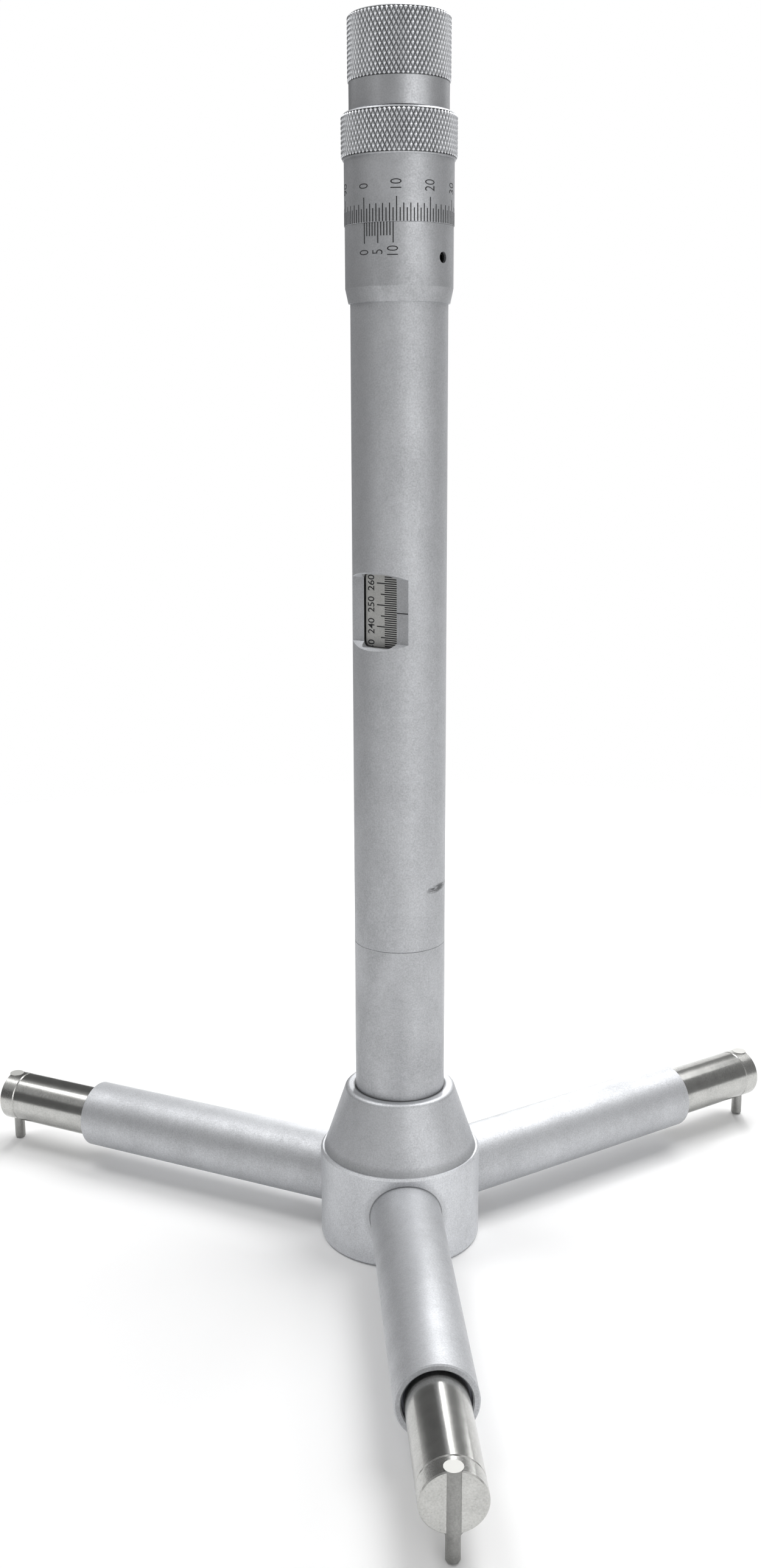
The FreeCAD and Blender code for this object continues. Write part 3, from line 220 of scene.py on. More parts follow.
class MicrometerMarks(PropertyGroup):
    """Sizes and places of the engraved lines and figures."""

    line_width: FloatProperty(
        name="Line width", description="Width of an engraved line",
        default=0.24 * MM, unit="LENGTH", precision=5)
    line_depth: FloatProperty(
        name="Line depth", description="Thickness of the paint in a line",
        default=0.03 * MM, unit="LENGTH", precision=5)
    zero_turn: FloatProperty(
        name="Zero", description="Direction of the zero lines, from the front",
        default=math.radians(-43.2), subtype="ANGLE")
    figure_height: FloatProperty(
        name="Figure height", description="Height of the figures",
        default=2.5 * MM, unit="LENGTH", precision=5)
    thimble_short: FloatProperty(
        name="Short line", description="Odd lines of the thimble",
        default=2.75 * MM, unit="LENGTH", precision=5)
    thimble_middle: FloatProperty(
        name="Middle line", description="Even lines of the thimble",
        default=3.7 * MM, unit="LENGTH", precision=5)
    thimble_long: FloatProperty(
        name="Long line", description="Every tenth line of the thimble",
        default=5.05 * MM, unit="LENGTH", precision=5)
    thimble_figures: FloatProperty(
        name="Thimble figures", description="Middle of the figures above the lower edge",
        default=7.5 * MM, unit="LENGTH", precision=5)
    vernier_short: FloatProperty(
        name="Vernier line", description="Plain lines of the vernier",
        default=2.8 * MM, unit="LENGTH", precision=5)
    vernier_long: FloatProperty(
        name="Long vernier line", description="Lines 0, 5 and 10 of the vernier",
        default=4.3 * MM, unit="LENGTH", precision=5)
    vernier_figures: FloatProperty(
        name="Vernier figures", description="Middle of the figures below the upper edge",
        default=6.1 * MM, unit="LENGTH", precision=5)
    scale_line: FloatProperty(
        name="Scale line", description="Width of a line on the main scale",
        default=0.27 * MM, unit="LENGTH", precision=5)
    scale_edge: FloatProperty(
        name="Scale edge", description="Right ends of the lines, from the bar's middle",
        default=4.3 * MM, unit="LENGTH", precision=5)
    scale_short: FloatProperty(
        name="Short scale line", description="Plain lines of the main scale",
        default=3.4 * MM, unit="LENGTH", precision=5)
    scale_five: FloatProperty(
        name="Fifth scale line", description="Every fifth line of the main scale",
        default=4.5 * MM, unit="LENGTH", precision=5)
    scale_ten: FloatProperty(
        name="Tenth scale line", description="Every tenth line of the main scale",
        default=5.6 * MM, unit="LENGTH", precision=5)
    scale_figures: FloatProperty(
        name="Scale figures", description="Middle of the figures, left of the bar's middle",
        default=2.85 * MM, unit="LENGTH", precision=5)
    scale_figure_height: FloatProperty(
        name="Scale figure height", description="Height of the figures on the main scale",
        default=1.8 * MM, unit="LENGTH", precision=5)
    index_start: FloatProperty(
        name="Index start", description="Index line from the window's middle",
        default=4.72 * MM, unit="LENGTH", precision=5)
    index_length: FloatProperty(
        name="Index length", description="Length of the index line",
        default=3.1 * MM, unit="LENGTH", precision=5)


class MicrometerFinishes(PropertyGroup):
    """Colours of the finishes."""

    satin: FloatVectorProperty(
        name="Satin alloy", description="Blasted and plated outside",
        default=(0.595, 0.605, 0.625), subtype="COLOR", size=3)
    ground: FloatVectorProperty(
        name="Ground steel", description="Plungers and rods",
        default=(0.50, 0.50, 0.485), subtype="COLOR", size=3)
    scale: FloatVectorProperty(
        name="Scale steel", description="Face of the scale bar",
        default=(0.70, 0.70, 0.68), subtype="COLOR", size=3)
    ink: FloatVectorProperty(
        name="Engraving", description="Paint in the lines and figures",
        default=(0.012, 0.012, 0.014), subtype="COLOR", size=3)
    bronze: FloatVectorProperty(
        name="Bronze", description="Bushes and nut",
        default=(0.50, 0.33, 0.14), subtype="COLOR", size=3)


class MicrometerStage(PropertyGroup):
    """Camera, lamps and floor."""

    eye: FloatVectorProperty(
        name="Camera", description="Place of the camera",
        default=(-0.02939, -0.370637, 0.205242), subtype="TRANSLATION", size=3, precision=5)
    heading: FloatProperty(
        name="Heading", description="Turn of the camera to the right",
        default=math.radians(3.825), subtype="ANGLE")
    pitch: FloatProperty(
        name="Pitch", description="Tilt of the camera, down is negative",
        default=math.radians(-13.325), subtype="ANGLE")
    roll: FloatProperty(
        name="Roll", description="Turn of the camera about its own axis",
        default=math.radians(-0.204), subtype="ANGLE")
    focal_pixels: FloatProperty(
        name="Focal length", description="Focal length in pixels of the photograph",
        default=2616.1)


# Shader maths.

class Tone:
    """A number inside a material, used in expressions like any other number."""

    def __init__(self, board, socket):
        self.board = board
        self.socket = socket

    def _with(self, operation, first, second=0.0):
        node = self.board.node("ShaderNodeMath", {"operation": operation}, {0: first, 1: second})
        return Tone(self.board, node.outputs[0])

    def __add__(self, other):
        return self._with("ADD", self, other)

    def __sub__(self, other):
        return self._with("SUBTRACT", self, other)

    def __mul__(self, other):
        return self._with("MULTIPLY", self, other)

    def __truediv__(self, other):
        return self._with("DIVIDE", self, other)

    def __pow__(self, other):
        return self._with("POWER", self, other)

    def __lt__(self, other):
        return self._with("LESS_THAN", self, other)

    def __radd__(self, other):
        return self._with("ADD", other, self)

    def __rsub__(self, other):
        return self._with("SUBTRACT", other, self)

    def __rmul__(self, other):
        return self._with("MULTIPLY", other, self)

    def clipped(self):
        """This number held between 0 and 1."""
        node = self.board.node("ShaderNodeClamp", {}, {"Value": self})
        return Tone(self.board, node.outputs[0])


class Board:
    """A node tree under construction."""

    def __init__(self, tree):
        self.tree = tree

    def node(self, kind, settings, inputs):
        """Adds a node, sets it up, and gives its sockets their values or links."""
        node = self.tree.nodes.new(kind)
        for name, value in settings.items():
            setattr(node, name, value)
        for name, value in inputs.items():
            self.feed(node.inputs[name], value)
        return node

    def feed(self, socket, value):
        """Links a tone or a socket to a socket, or sets its value."""
        if isinstance(value, Tone):
            self.tree.links.new(value.socket, socket)
        elif isinstance(value, bpy.types.NodeSocket):
            self.tree.links.new(value, socket)
        else:
            socket.default_value = value

    def tone(self, node, output):
        """One output of a node as a tone."""
        return Tone(self, node.outputs[output])

    def own(self, kind):
        """Node of a kind that the tree came with."""
        return next(node for node in self.tree.nodes if node.type == kind)


class Finish(Board):
    """A material under construction."""

    def __init__(self, name, colour, rough, metal=1.0):
        self.material = bpy.data.materials.new(name)
        self.material.use_nodes = True
        self.material.diffuse_color = (*colour, 1.0)
        super().__init__(self.material.node_tree)
        self.shader = self.own("BSDF_PRINCIPLED")
        self.base = (*colour, 1.0)
        self.set(**{"Base Color": self.base, "Roughness": rough, "Metallic": metal})

    def set(self, **inputs):
        """Feeds sockets of the shader."""
        for name, value in inputs.items():
            self.feed(self.shader.inputs[name], value)

    def places(self, scale=(1.0, 1.0, 1.0)):
        """Object coordinates, stretched."""
        coordinates = self.node("ShaderNodeTexCoord", {}, {})
        mapping = self.node("ShaderNodeMapping", {}, {
            "Vector": coordinates.outputs["Object"], "Scale": scale})
        return mapping.outputs[0]

    def axes(self):
        """The three object coordinates as tones, in millimetres."""
        parts = self.node("ShaderNodeSeparateXYZ", {}, {0: self.places()})
        return [self.tone(parts, axis) / MM for axis in range(3)]

    def noise(self, size_mm, detail, stretch=(1.0, 1.0, 1.0)):
        """Noise between 0 and 1 whose blotches have about that size."""
        vector = self.places(tuple(part / (size_mm * MM) for part in stretch))
        node = self.node("ShaderNodeTexNoise", {}, {
            "Vector": vector, "Scale": 1.0, "Detail": detail})
        return self.tone(node, 0)

    def tint(self, amount, other):
        """Base colour mixed with another colour by a tone; a later tint lies over this one."""
        mix = self.node("ShaderNodeMix", {"data_type": "RGBA"}, {
            0: amount.clipped(), 6: self.base, 7: (*other, 1.0)})
        self.base = mix.outputs[2]
        self.set(**{"Base Color": self.base})

    def cover(self, amount):
        """Lets what lies behind show through by a tone."""
        clear = self.node("ShaderNodeBsdfTransparent", {}, {})
        mix = self.node("ShaderNodeMixShader", {}, {
            0: amount, 1: self.shader.outputs[0], 2: clear.outputs[0]})
        self.feed(self.own("OUTPUT_MATERIAL").inputs["Surface"], mix.outputs[0])

    def relief(self, height, distance_mm, strength):
        """Bump whose full height is given in millimetres."""
        bump = self.node("ShaderNodeBump", {}, {
            "Height": height, "Distance": distance_mm * MM, "Strength": strength})
        self.set(Normal=bump.outputs[0])


def darker(colour, share):
    """A colour times a share."""
    return tuple(part * share for part in colour)


def radial(finish):
    """Distance from the tube's axis as a tone, in millimetres."""
    across, deep = finish.axes()[:2]
    return (across * across + deep * deep) ** 0.5


def band(tone, middle, half):
    """1 where a tone is at the middle, falling to 0 at half the band's width."""
    away = (tone - middle) / half
    return (1.0 - away * away).clipped()


def satin_finish(name, colour, rough, dirt=0.6):
    """Blasted satin metal with a fine grain, faint blotches, specks and clouds of dirt."""
    finish = Finish(name, colour, rough)
    grain = finish.noise(0.34, 3.0)
    blotch = finish.noise(1.6, 2.0)
    cloud = finish.noise(9.0, 3.0, (1.0, 1.0, 0.6))
    speck = (finish.noise(0.8, 1.0) - 0.68).clipped()
    wear = (grain - 0.5) * 1.1 + (blotch - 0.5) * 0.35 + (cloud - 0.5) * dirt - speck + 0.36
    finish.tint(wear, darker(colour, 0.64))
    finish.set(Roughness=rough + (grain - 0.5) * 0.25 + (cloud - 0.5) * 0.12)
    finish.relief(grain, 0.014, 0.8)
    return finish


def tube_finish(name, colour, rough):
    """Satin tube whose inside is painted dark as shade, with the dull smudge below the window."""
    finish = satin_finish(name, colour, rough)
    across, deep, high = finish.axes()
    side = across - SMUDGE_ACROSS
    rise = high - SMUDGE_HEIGHT - side * SMUDGE_SLOPE
    patch = 1.0 - side * side / SMUDGE_WIDE - rise * rise / SMUDGE_HIGH
    streaks = (finish.noise(0.5, 3.0, (0.3, 0.3, 1.3)) * 3.0 - 0.75).clipped()
    front = deep < 0.0
    finish.tint(patch.clipped() * streaks * front * 1.3, darker(colour, 0.28))
    # Painted shade: inside the bore the tube is darkened almost to black.
    finish.tint(radial(finish) < TUBE_BORE, darker(colour, 0.06))
    return finish


def hub_finish(name, colour, rough):
    """Satin hub with painted contact shadow and dirt in a seam round each arm, and a wide painted
    shade beyond it.
    """
    finish = satin_finish(name, colour, rough)
    across, deep, high = finish.axes()
    rise = high - ARM_HEIGHT / MM
    for direction in ARMS.values():
        turn = math.radians(direction)
        out = across * math.cos(turn) + deep * math.sin(turn)
        side = deep * math.cos(turn) - across * math.sin(turn)
        reach = (side * side + rise * rise) ** 0.5
        ahead = 1.0 - (out < 0.0)
        # A sharp seam of painted contact shadow and dirt, then a wide soft painted shade: half
        # width, strength and darkness.
        for half, strength, share in ((0.30, 0.9, 0.15), (1.8, 0.35, 0.40)):
            ring = band(reach, SLEEVE_RADIUS / MM, half) * ahead * strength
            finish.tint(ring, darker(colour, share))
    return finish


def cone_finish(name, colour, rough):
    """Satin cone with painted shadow and dirt in a dark ring against the tube, and a darker band
    at its foot.
    """
    finish = satin_finish(name, colour, rough)
    reach = radial(finish)
    # Painted shadow and dirt in the groove where the cone meets the tube.
    finish.tint(band(reach, TUBE_RADIUS / MM, 0.75), darker(colour, 0.12))
    # A darker band round the cone's foot.
    finish.tint(band(reach, CONE_RADIUS / MM, 0.8) * 0.5, darker(colour, 0.40))
    return finish


def ground_finish(name, colour, rough, arm=None):
    """Ground steel: fine rings around the piece's own axis, and small stains."""
    finish = Finish(name, colour, rough)
    across, deep, high = finish.axes()
    along = high
    if arm is not None:
        turn = math.radians(ARMS[arm])
        along = across * math.cos(turn) + deep * math.sin(turn)
    line = finish.node("ShaderNodeTexNoise", {"noise_dimensions": "1D"}, {
        "W": along * 9.0, "Scale": 1.0, "Detail": 3.0})
    rings = finish.tone(line, 0)
    grain = finish.noise(0.4, 3.0)
    cloud = finish.noise(3.5, 2.0)
    wear = (rings - 0.5) * 0.4 + (cloud - 0.5) * 0.8 + (grain - 0.5) * 1.2 + 0.3
    finish.tint(wear, darker(colour, 0.62))
    finish.set(Roughness=rough + (rings - 0.5) * 0.10 + (grain - 0.5) * 0.15)
    finish.relief(rings * 0.4 + grain * 0.6, 0.010, 0.7)
    return finish


def pin_finish(name, colour, rough, height):
    """Contact pin: dull side and bright ground top; height is the top's, in metres."""
    finish = ground_finish(name, darker(colour, 0.68), rough)
    top = 1.0 - (finish.axes()[2] < height / MM - 0.06)
    finish.tint(top, darker(colour, 1.15))
    finish.set(Roughness=rough + top * 0.3)
    return finish


def knurl_finish(name, colour, rough, radius, depth):
    """Bright knurl whose valleys are darkened by painted shade and dirt; radius and depth in
    metres.
    """
    finish = Finish(name, colour, rough)
    sunk = ((radius / MM - radial(finish)) / (depth / MM)).clipped()
    grime_and_shade = finish.noise(3.0, 3.0) * 0.5 + 0.75
    # Painted shade and dirt darken the valleys, most at their bottom.
    finish.tint(sunk * sunk * grime_and_shade, darker(colour, 0.12))
    finish.set(Roughness=rough + sunk * 0.25)
    return finish


def plain_finish(name, colour, rough, metal=1.0):
    """Small hardware: one colour with a fine grain."""
    finish = Finish(name, colour, rough, metal)
    grain = finish.noise(0.35, 2.0)
    finish.tint(grain * 0.7, darker(colour, 0.75))
    finish.set(Roughness=rough + (grain - 0.5) * 0.12)
    return finish


# Modelling helpers.

def nothing_selected():
    """Leaves edit mode and deselects everything."""
    if bpy.context.object and bpy.context.object.mode != "OBJECT":
        bpy.ops.object.mode_set(mode="OBJECT")
    bpy.ops.object.select_all(action="DESELECT")


def pick(piece, *others):
    """Selects these pieces alone; the first one is active."""
    nothing_selected()
    for part in (piece, *others):
        part.select_set(True)
    bpy.context.view_layer.objects.active = piece


def settle(piece, name, body, material, replaced=()):
    """Names a finished piece, applies its place and gives it to its body."""
    pick(piece)
    bpy.ops.object.transform_apply(location=True, rotation=True, scale=True)
    piece.name = name
    piece.data.name = name
    piece.data.materials.clear()
    piece.data.materials.append(material)
    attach(piece, body)
    if replaced:
        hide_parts(*replaced)


def turned_form(profile, steps):
    """Closed form turned about +Z: a ring is drawn out through pairs of radius and height."""
    nothing_selected()
    radius, height = profile[0]
    bpy.ops.mesh.primitive_circle_add(
        vertices=steps, radius=radius, fill_type="NOTHING", location=(0, 0, height))
    piece = bpy.context.object
    bpy.ops.object.transform_apply(location=True)
    bpy.ops.object.mode_set(mode="EDIT")
    bpy.ops.mesh.select_all(action="SELECT")
    for next_radius, next_height in profile[1:] + profile[:1]:
        bpy.ops.mesh.extrude_region_move(
            TRANSFORM_OT_translate={"value": (0, 0, next_height - height)})
        share = next_radius / radius
        bpy.ops.transform.resize(value=(share, share, 1.0), center_override=(0, 0, 0))
        radius, height = next_radius, next_height
    bpy.ops.mesh.select_all(action="SELECT")
    bpy.ops.mesh.remove_doubles(threshold=0.001 * MM)
    bpy.ops.mesh.normals_make_consistent(inside=False)
    bpy.ops.object.mode_set(mode="OBJECT")
    return piece


def smooth(piece, degrees=28.0):
    """Smooth shading, with edges sharper than the angle left sharp."""
    pick(piece)
    bpy.ops.object.shade_smooth_by_angle(angle=math.radians(degrees))


def joined(first, *others):
    """Joins pieces into the first one."""
    pick(first, *others)
    bpy.ops.object.join()
    return first


def knurl_rings(forms, valley, low, high):
    """Rings of a knurl's valleys, as pairs of radius and height."""
    rows = round(2 * (high - low) / forms.knurl_rise)
    end = forms.knurl_end
    step = (high - low) / (rows - 2 + 2 * end)
    inner = [low + (end + row) * step for row in range(rows - 1)]
    return [(valley, height) for height in (low, *inner, high)]


def points_around(forms, radius):
    """Knurl points around a grip, an even number."""
    return 2 * round(math.pi * radius / forms.knurl_pitch)


def select_corners(piece, rings, points):
    """Selects every second corner of the inner rings, in turn."""
    bpy.ops.object.mode_set(mode="EDIT")
    bpy.ops.mesh.select_all(action="DESELECT")
    bpy.ops.object.mode_set(mode="OBJECT")
    near = 0.01 * MM
    for vertex in piece.data.vertices:
        turn = math.atan2(vertex.co.y, vertex.co.x) / math.tau * 2 * points
        for row, (radius, height) in enumerate(rings[1:-1]):
            if abs(vertex.co.z - height) < near and abs(vertex.co.xy.length - radius) < near:
                vertex.select = (round(turn) + row) % 2 == 0
    bpy.ops.object.mode_set(mode="EDIT")


def raise_points(forms, piece, rings, points):
    """Diamond knurl: every second corner of the rings, in turn, is drawn out to a blunt point."""
    pick(piece)
    bpy.ops.object.mode_set(mode="EDIT")
    bpy.ops.mesh.select_mode(type="VERT")
    select_corners(piece, rings, points)
    share = 1.0 + forms.knurl_depth / rings[0][0]
    bpy.ops.transform.resize(value=(share, share, 1.0), center_override=(0, 0, 0))
    bpy.ops.mesh.select_all(action="SELECT")
    bpy.ops.mesh.quads_convert_to_tris(quad_method="SHORTEST_DIAGONAL")
    select_corners(piece, [(radius * share, height) for radius, height in rings], points)
    bpy.ops.mesh.bevel(offset=forms.knurl_flat * forms.knurl_pitch, affect="VERTICES", segments=1)
    bpy.ops.object.mode_set(mode="OBJECT")


def finish_grip(piece, name, body, replaced, rings, plain):
    """Settles a grip, its knurl bright and the rest in the finish named."""
    smooth(piece)
    settle(piece, name, body, FINISH_OF[plain], (replaced,))
    piece.data.materials.append(FINISH_OF["knurl_" + body])
    low, high = rings[0][1], rings[-1][1]
    inner = rings[-1][0] - 0.1 * MM
    for face in piece.data.polygons:
        if low < face.center.z < high and face.center.xy.length > inner:
            face.material_index = 1


def lifted(profile, foot):
    """Profile in millimetres brought to metres and to its place."""
    return [(radius * MM, foot + height * MM) for radius, height in profile]


def on_barrel(radius, turn, height):
    """Point on a cylinder about the tube's axis; turn is measured from the front."""
    return Vector((radius * math.sin(turn), -radius * math.cos(turn), height))


def on_window(turn, out):
    """Matrix that lays a flat drawing on the window, its +Y upwards."""
    normal = on_barrel(1.0, turn, 0.0)
    across = Vector((-normal.y, normal.x, 0.0))
    drawn = Matrix((across, Vector((0, 0, 1)), normal)).transposed().to_4x4()
    return Matrix.Translation(normal * out) @ drawn


def barrel_lines(marks, radius, first_turn, step, count, low, high):
    """Engraved lines along a cylinder, one made and the rest turned from it."""
    nothing_selected()
    bpy.ops.mesh.primitive_plane_add(size=1.0)
    line = bpy.context.object
    line.scale = (marks.line_width, high - low, 1.0)
    line.rotation_euler = (math.radians(90), 0, first_turn)
    line.location = on_barrel(radius, first_turn, (low + high) / 2)
    bpy.ops.object.transform_apply(location=True, rotation=True, scale=True)
    if count > 1:
        bpy.ops.object.mode_set(mode="EDIT")
        bpy.ops.mesh.select_all(action="SELECT")
        bpy.ops.mesh.spin(
            steps=count - 1, dupli=True, angle=-step * (count - 1),
            center=(0, 0, 0), axis=(0, 0, 1))
        bpy.ops.object.mode_set(mode="OBJECT")
    thicken(line, marks.line_depth)
    return line


def thicken(piece, depth):
    """Gives flat marks their thickness, half of it sunk."""
    pick(piece)
    solid = piece.modifiers.new("Paint", "SOLIDIFY")
    solid.thickness = depth
    solid.offset = 0.0
    bpy.ops.object.modifier_apply(modifier=solid.name)


def figures(text, height, width, weight):
    """Flat mesh of a number, centred on the origin and facing +Z."""
    nothing_selected()
    bpy.ops.object.text_add()
    words = bpy.context.object
    words.data.body = text
    words.data.size = height * FIGURE_SIZE
    words.data.align_x = "CENTER"
    words.data.align_y = "CENTER"
    words.data.resolution_u = 4
    words.data.offset = weight
    words.scale = (width, 1.0, 1.0)
    bpy.ops.object.convert(target="MESH")
    words = bpy.context.object
    bpy.ops.object.transform_apply(location=True, rotation=True, scale=True)
    return words


def figures_on_barrel(marks, text, radius, turn, height):
    """Number wrapped on a cylinder, reading upwards."""
    words = figures(text, marks.figure_height, *BARREL_FIGURE)
    # Eleven level cuts, so that the number can bend.
    bpy.ops.object.mode_set(mode="EDIT")
    for share in range(-5, 6):
        bpy.ops.mesh.select_all(action="SELECT")
        bpy.ops.mesh.bisect(
            plane_co=(0, share / 10 * marks.figure_height, 0), plane_no=(0, 1, 0))
    bpy.ops.object.mode_set(mode="OBJECT")
    for vertex in words.data.vertices:
        along, up = vertex.co.x, vertex.co.y
        vertex.co = on_barrel(radius, turn - up / radius, height + along)
    thicken(words, marks.line_depth)
    return words


def grid_lines(width, length, step, count, low, left):
    """Level lines on a flat, one drawn and the rest arrayed above it."""
    nothing_selected()
    bpy.ops.mesh.primitive_plane_add(size=1.0)
    line = bpy.context.object
    line.scale = (length, width, 1.0)
    line.location = (left + length / 2, low, 0)
    bpy.ops.object.transform_apply(location=True, scale=True)
    array = line.modifiers.new("Rows", "ARRAY")
    array.count = count
    array.use_relative_offset = False
    array.use_constant_offset = True
    array.constant_offset_displace = (0, step, 0)
    bpy.ops.object.modifier_apply(modifier=array.name)
    return line


# Every finish by its name, filled by make_finishes.
FINISH_OF = {}


def make_finishes(tones, depth):
    """All finishes of the object, by name; depth is the knurl's."""
    satin, ground = tones.satin, tones.ground
    made = {
        "tube": tube_finish("satin tube", darker(satin, 1.02), 0.58),
        "satin": satin_finish("satin alloy", darker(satin, 0.97), 0.54, 1.3),
        "sleeve": satin_finish("satin sleeve", darker(satin, 1.08), 0.58),
        "neck": satin_finish("turned neck", darker(satin, 1.04), 0.42, 1.0),
        # Painted light: the hub's satin is made lighter than the other satin pieces, standing for
        # the bright floor mirrored in it.
        "hub": hub_finish("satin hub", darker(satin, 1.28), 0.55),
        "cone": cone_finish("satin cone", darker(satin, 1.12), 0.56),
        "scale": satin_finish("scale face", tones.scale, 0.50),
        "rod": ground_finish("ground rod", ground, 0.22),
        "pin": pin_finish("contact pin", ground, 0.32, top_of("contact_pin_front")),
        "screw": plain_finish("blackened steel", (0.035, 0.034, 0.033), 0.38),
        "plug": plain_finish("plug steel", (0.22, 0.225, 0.235), 0.5),
        "bush": plain_finish("bush steel", (0.20, 0.205, 0.235), 0.45),
        "dark": plain_finish("black steel", (0.006, 0.006, 0.006), 0.5),
        "spring": plain_finish("spring steel", (0.24, 0.24, 0.24), 0.32),
        "bronze": plain_finish("bronze", tones.bronze, 0.34),
        "ink": plain_finish("engraving paint", tones.ink, 0.55, 0.0),
    }
    for grip, radius in (("cap", CAP_RADIUS), ("thimble", GRIP_RADIUS)):
        made["knurl_" + grip] = knurl_finish(
            "knurl of the " + grip, darker(satin, 1.55), 0.24, radius, depth)
    for arm in ARMS:
        made["plunger_" + arm] = ground_finish(
            "ground plunger " + arm, darker(ground, 1.12), 0.20, arm)
        made["anvil_head_" + arm] = ground_finish(
            "anvil steel " + arm, darker(ground, 1.18), 0.25, arm)
    FINISH_OF.update({name: finish.material for name, finish in made.items()})


def finish_for(node):
    """Finish made for a node by its name, or the one its kind has."""
    if node in FINISH_OF:
        return FINISH_OF[node]
    start = max((key for key in NODE_FINISH if node.startswith(key)), key=len)
    return FINISH_OF[NODE_FINISH[start]]


# Operators, one for each piece or group of like pieces.

class MICROMETER_OT_dress_frame(Operator):
    """Gives every CAD node its finish"""

    bl_idname = "micrometer.dress_frame"
    bl_label = "Dress the frame"

    def execute(self, context):
        forms = context.scene.micrometer_forms
        make_finishes(context.scene.micrometer_finishes, forms.knurl_depth)
        for node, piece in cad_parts.items():
            piece.data.materials.clear()
            piece.data.materials.append(finish_for(node))
        return {"FINISHED"}


class MICROMETER_OT_add_cap(Operator):
    """Friction cap with its diamond knurl"""

    bl_idname = "micrometer.add_cap"
    bl_label = "Friction cap"

    def execute(self, context):
        forms = context.scene.micrometer_forms
        points = points_around(forms, CAP_RADIUS)
        valley = CAP_RADIUS - forms.knurl_depth
        broken = 0.1 * MM
        knurl_low = CAP_LOW + forms.neck_height + forms.knurl_edge
        rings = knurl_rings(forms, valley, knurl_low, CAP_TOP - 2 * broken)
        rings[-1] = (valley - forms.cap_round, rings[-1][1])
        rim = (rings[-1][0] - 3 * broken, CAP_TOP)
        neck = forms.neck_radius
        profile = lifted(CAP_INSIDE, CAP_LOW) + [
            (neck - broken, CAP_LOW), (neck, CAP_LOW + broken),
            (neck, CAP_LOW + forms.neck_height)] + rings + [rim]
        cap = turned_form(profile, 2 * points)
        raise_points(forms, cap, rings, points)
        finish_grip(cap, "cap_shell", "cap", "friction_cap", rings, "neck")
        return {"FINISHED"}


class MICROMETER_OT_add_thimble(Operator):
    """Thimble with its knurled collar"""

    bl_idname = "micrometer.add_thimble"
    bl_label = "Thimble"

    def execute(self, context):
        forms = context.scene.micrometer_forms
        points = points_around(forms, GRIP_RADIUS)
        valley = GRIP_RADIUS - forms.knurl_depth
        broken = 0.08 * MM
        inside = lifted(THIMBLE_INSIDE, THIMBLE_LOW)
        low = inside[-1][1]
        drum = forms.thimble_radius
        grip_low = THIMBLE_TOP - forms.grip_height
        rings = knurl_rings(forms, valley, grip_low + forms.knurl_edge,
                            THIMBLE_TOP - forms.collar_chamfer)
        profile = inside + [
            (drum - broken, low), (drum, low + broken), (drum, grip_low),
            (valley - broken, grip_low)] + rings + [
            (valley - forms.collar_chamfer, THIMBLE_TOP)]
        shell = turned_form(profile, 2 * points)
        raise_points(forms, shell, rings, points)
        finish_grip(shell, "thimble_shell", "thimble", "thimble", rings, "satin")
        return {"FINISHED"}


class MICROMETER_OT_engrave_thimble(Operator):
    """Hundred lines and their figures on the thimble"""

    bl_idname = "micrometer.engrave_thimble"
    bl_label = "Thimble graduation"

    def execute(self, context):
        marks = context.scene.micrometer_marks
        radius = context.scene.micrometer_forms.thimble_radius
        low = VERNIER_TOP + 0.1 * MM
        hundredth = math.radians(3.6)
        zero = marks.zero_turn
        short = barrel_lines(marks, radius, zero + hundredth, 2 * hundredth, 50,
                             low, low + marks.thimble_short)
        middle = barrel_lines(marks, radius, zero, 2 * hundredth, 50,
                              low, low + marks.thimble_middle)
        tall = barrel_lines(marks, radius, zero, 10 * hundredth, 10,
                            low + marks.thimble_middle, low + marks.thimble_long)
        numbers = [
            figures_on_barrel(marks, str(value), radius, zero + value * hundredth,
                              VERNIER_TOP + marks.thimble_figures)
            for value in range(0, 100, 10)]
        piece = joined(short, middle, tall, *numbers)
        settle(piece, "thimble_marks", "thimble", FINISH_OF["ink"])
        return {"FINISHED"}


class MICROMETER_OT_engrave_vernier(Operator):
    """Ten vernier lines and their figures on the sleeve"""

    bl_idname = "micrometer.engrave_vernier"
    bl_label = "Vernier"

    def execute(self, context):
        marks = context.scene.micrometer_marks
        radius = VERNIER_RADIUS
        high = VERNIER_TOP
        tenth = math.radians(3.24)
        zero = marks.zero_turn
        short = barrel_lines(marks, radius, zero, tenth, 11, high - marks.vernier_short, high)
        tall = barrel_lines(marks, radius, zero, 5 * tenth, 3,
                            high - marks.vernier_long, high - marks.vernier_short)
        numbers = [
            figures_on_barrel(marks, str(value), radius, zero + value * tenth,
                              high - marks.vernier_figures)
            for value in (0, 5, 10)]
        piece = joined(short, tall, *numbers)
        settle(piece, "vernier_marks", "housing", FINISH_OF["ink"])
        return {"FINISHED"}


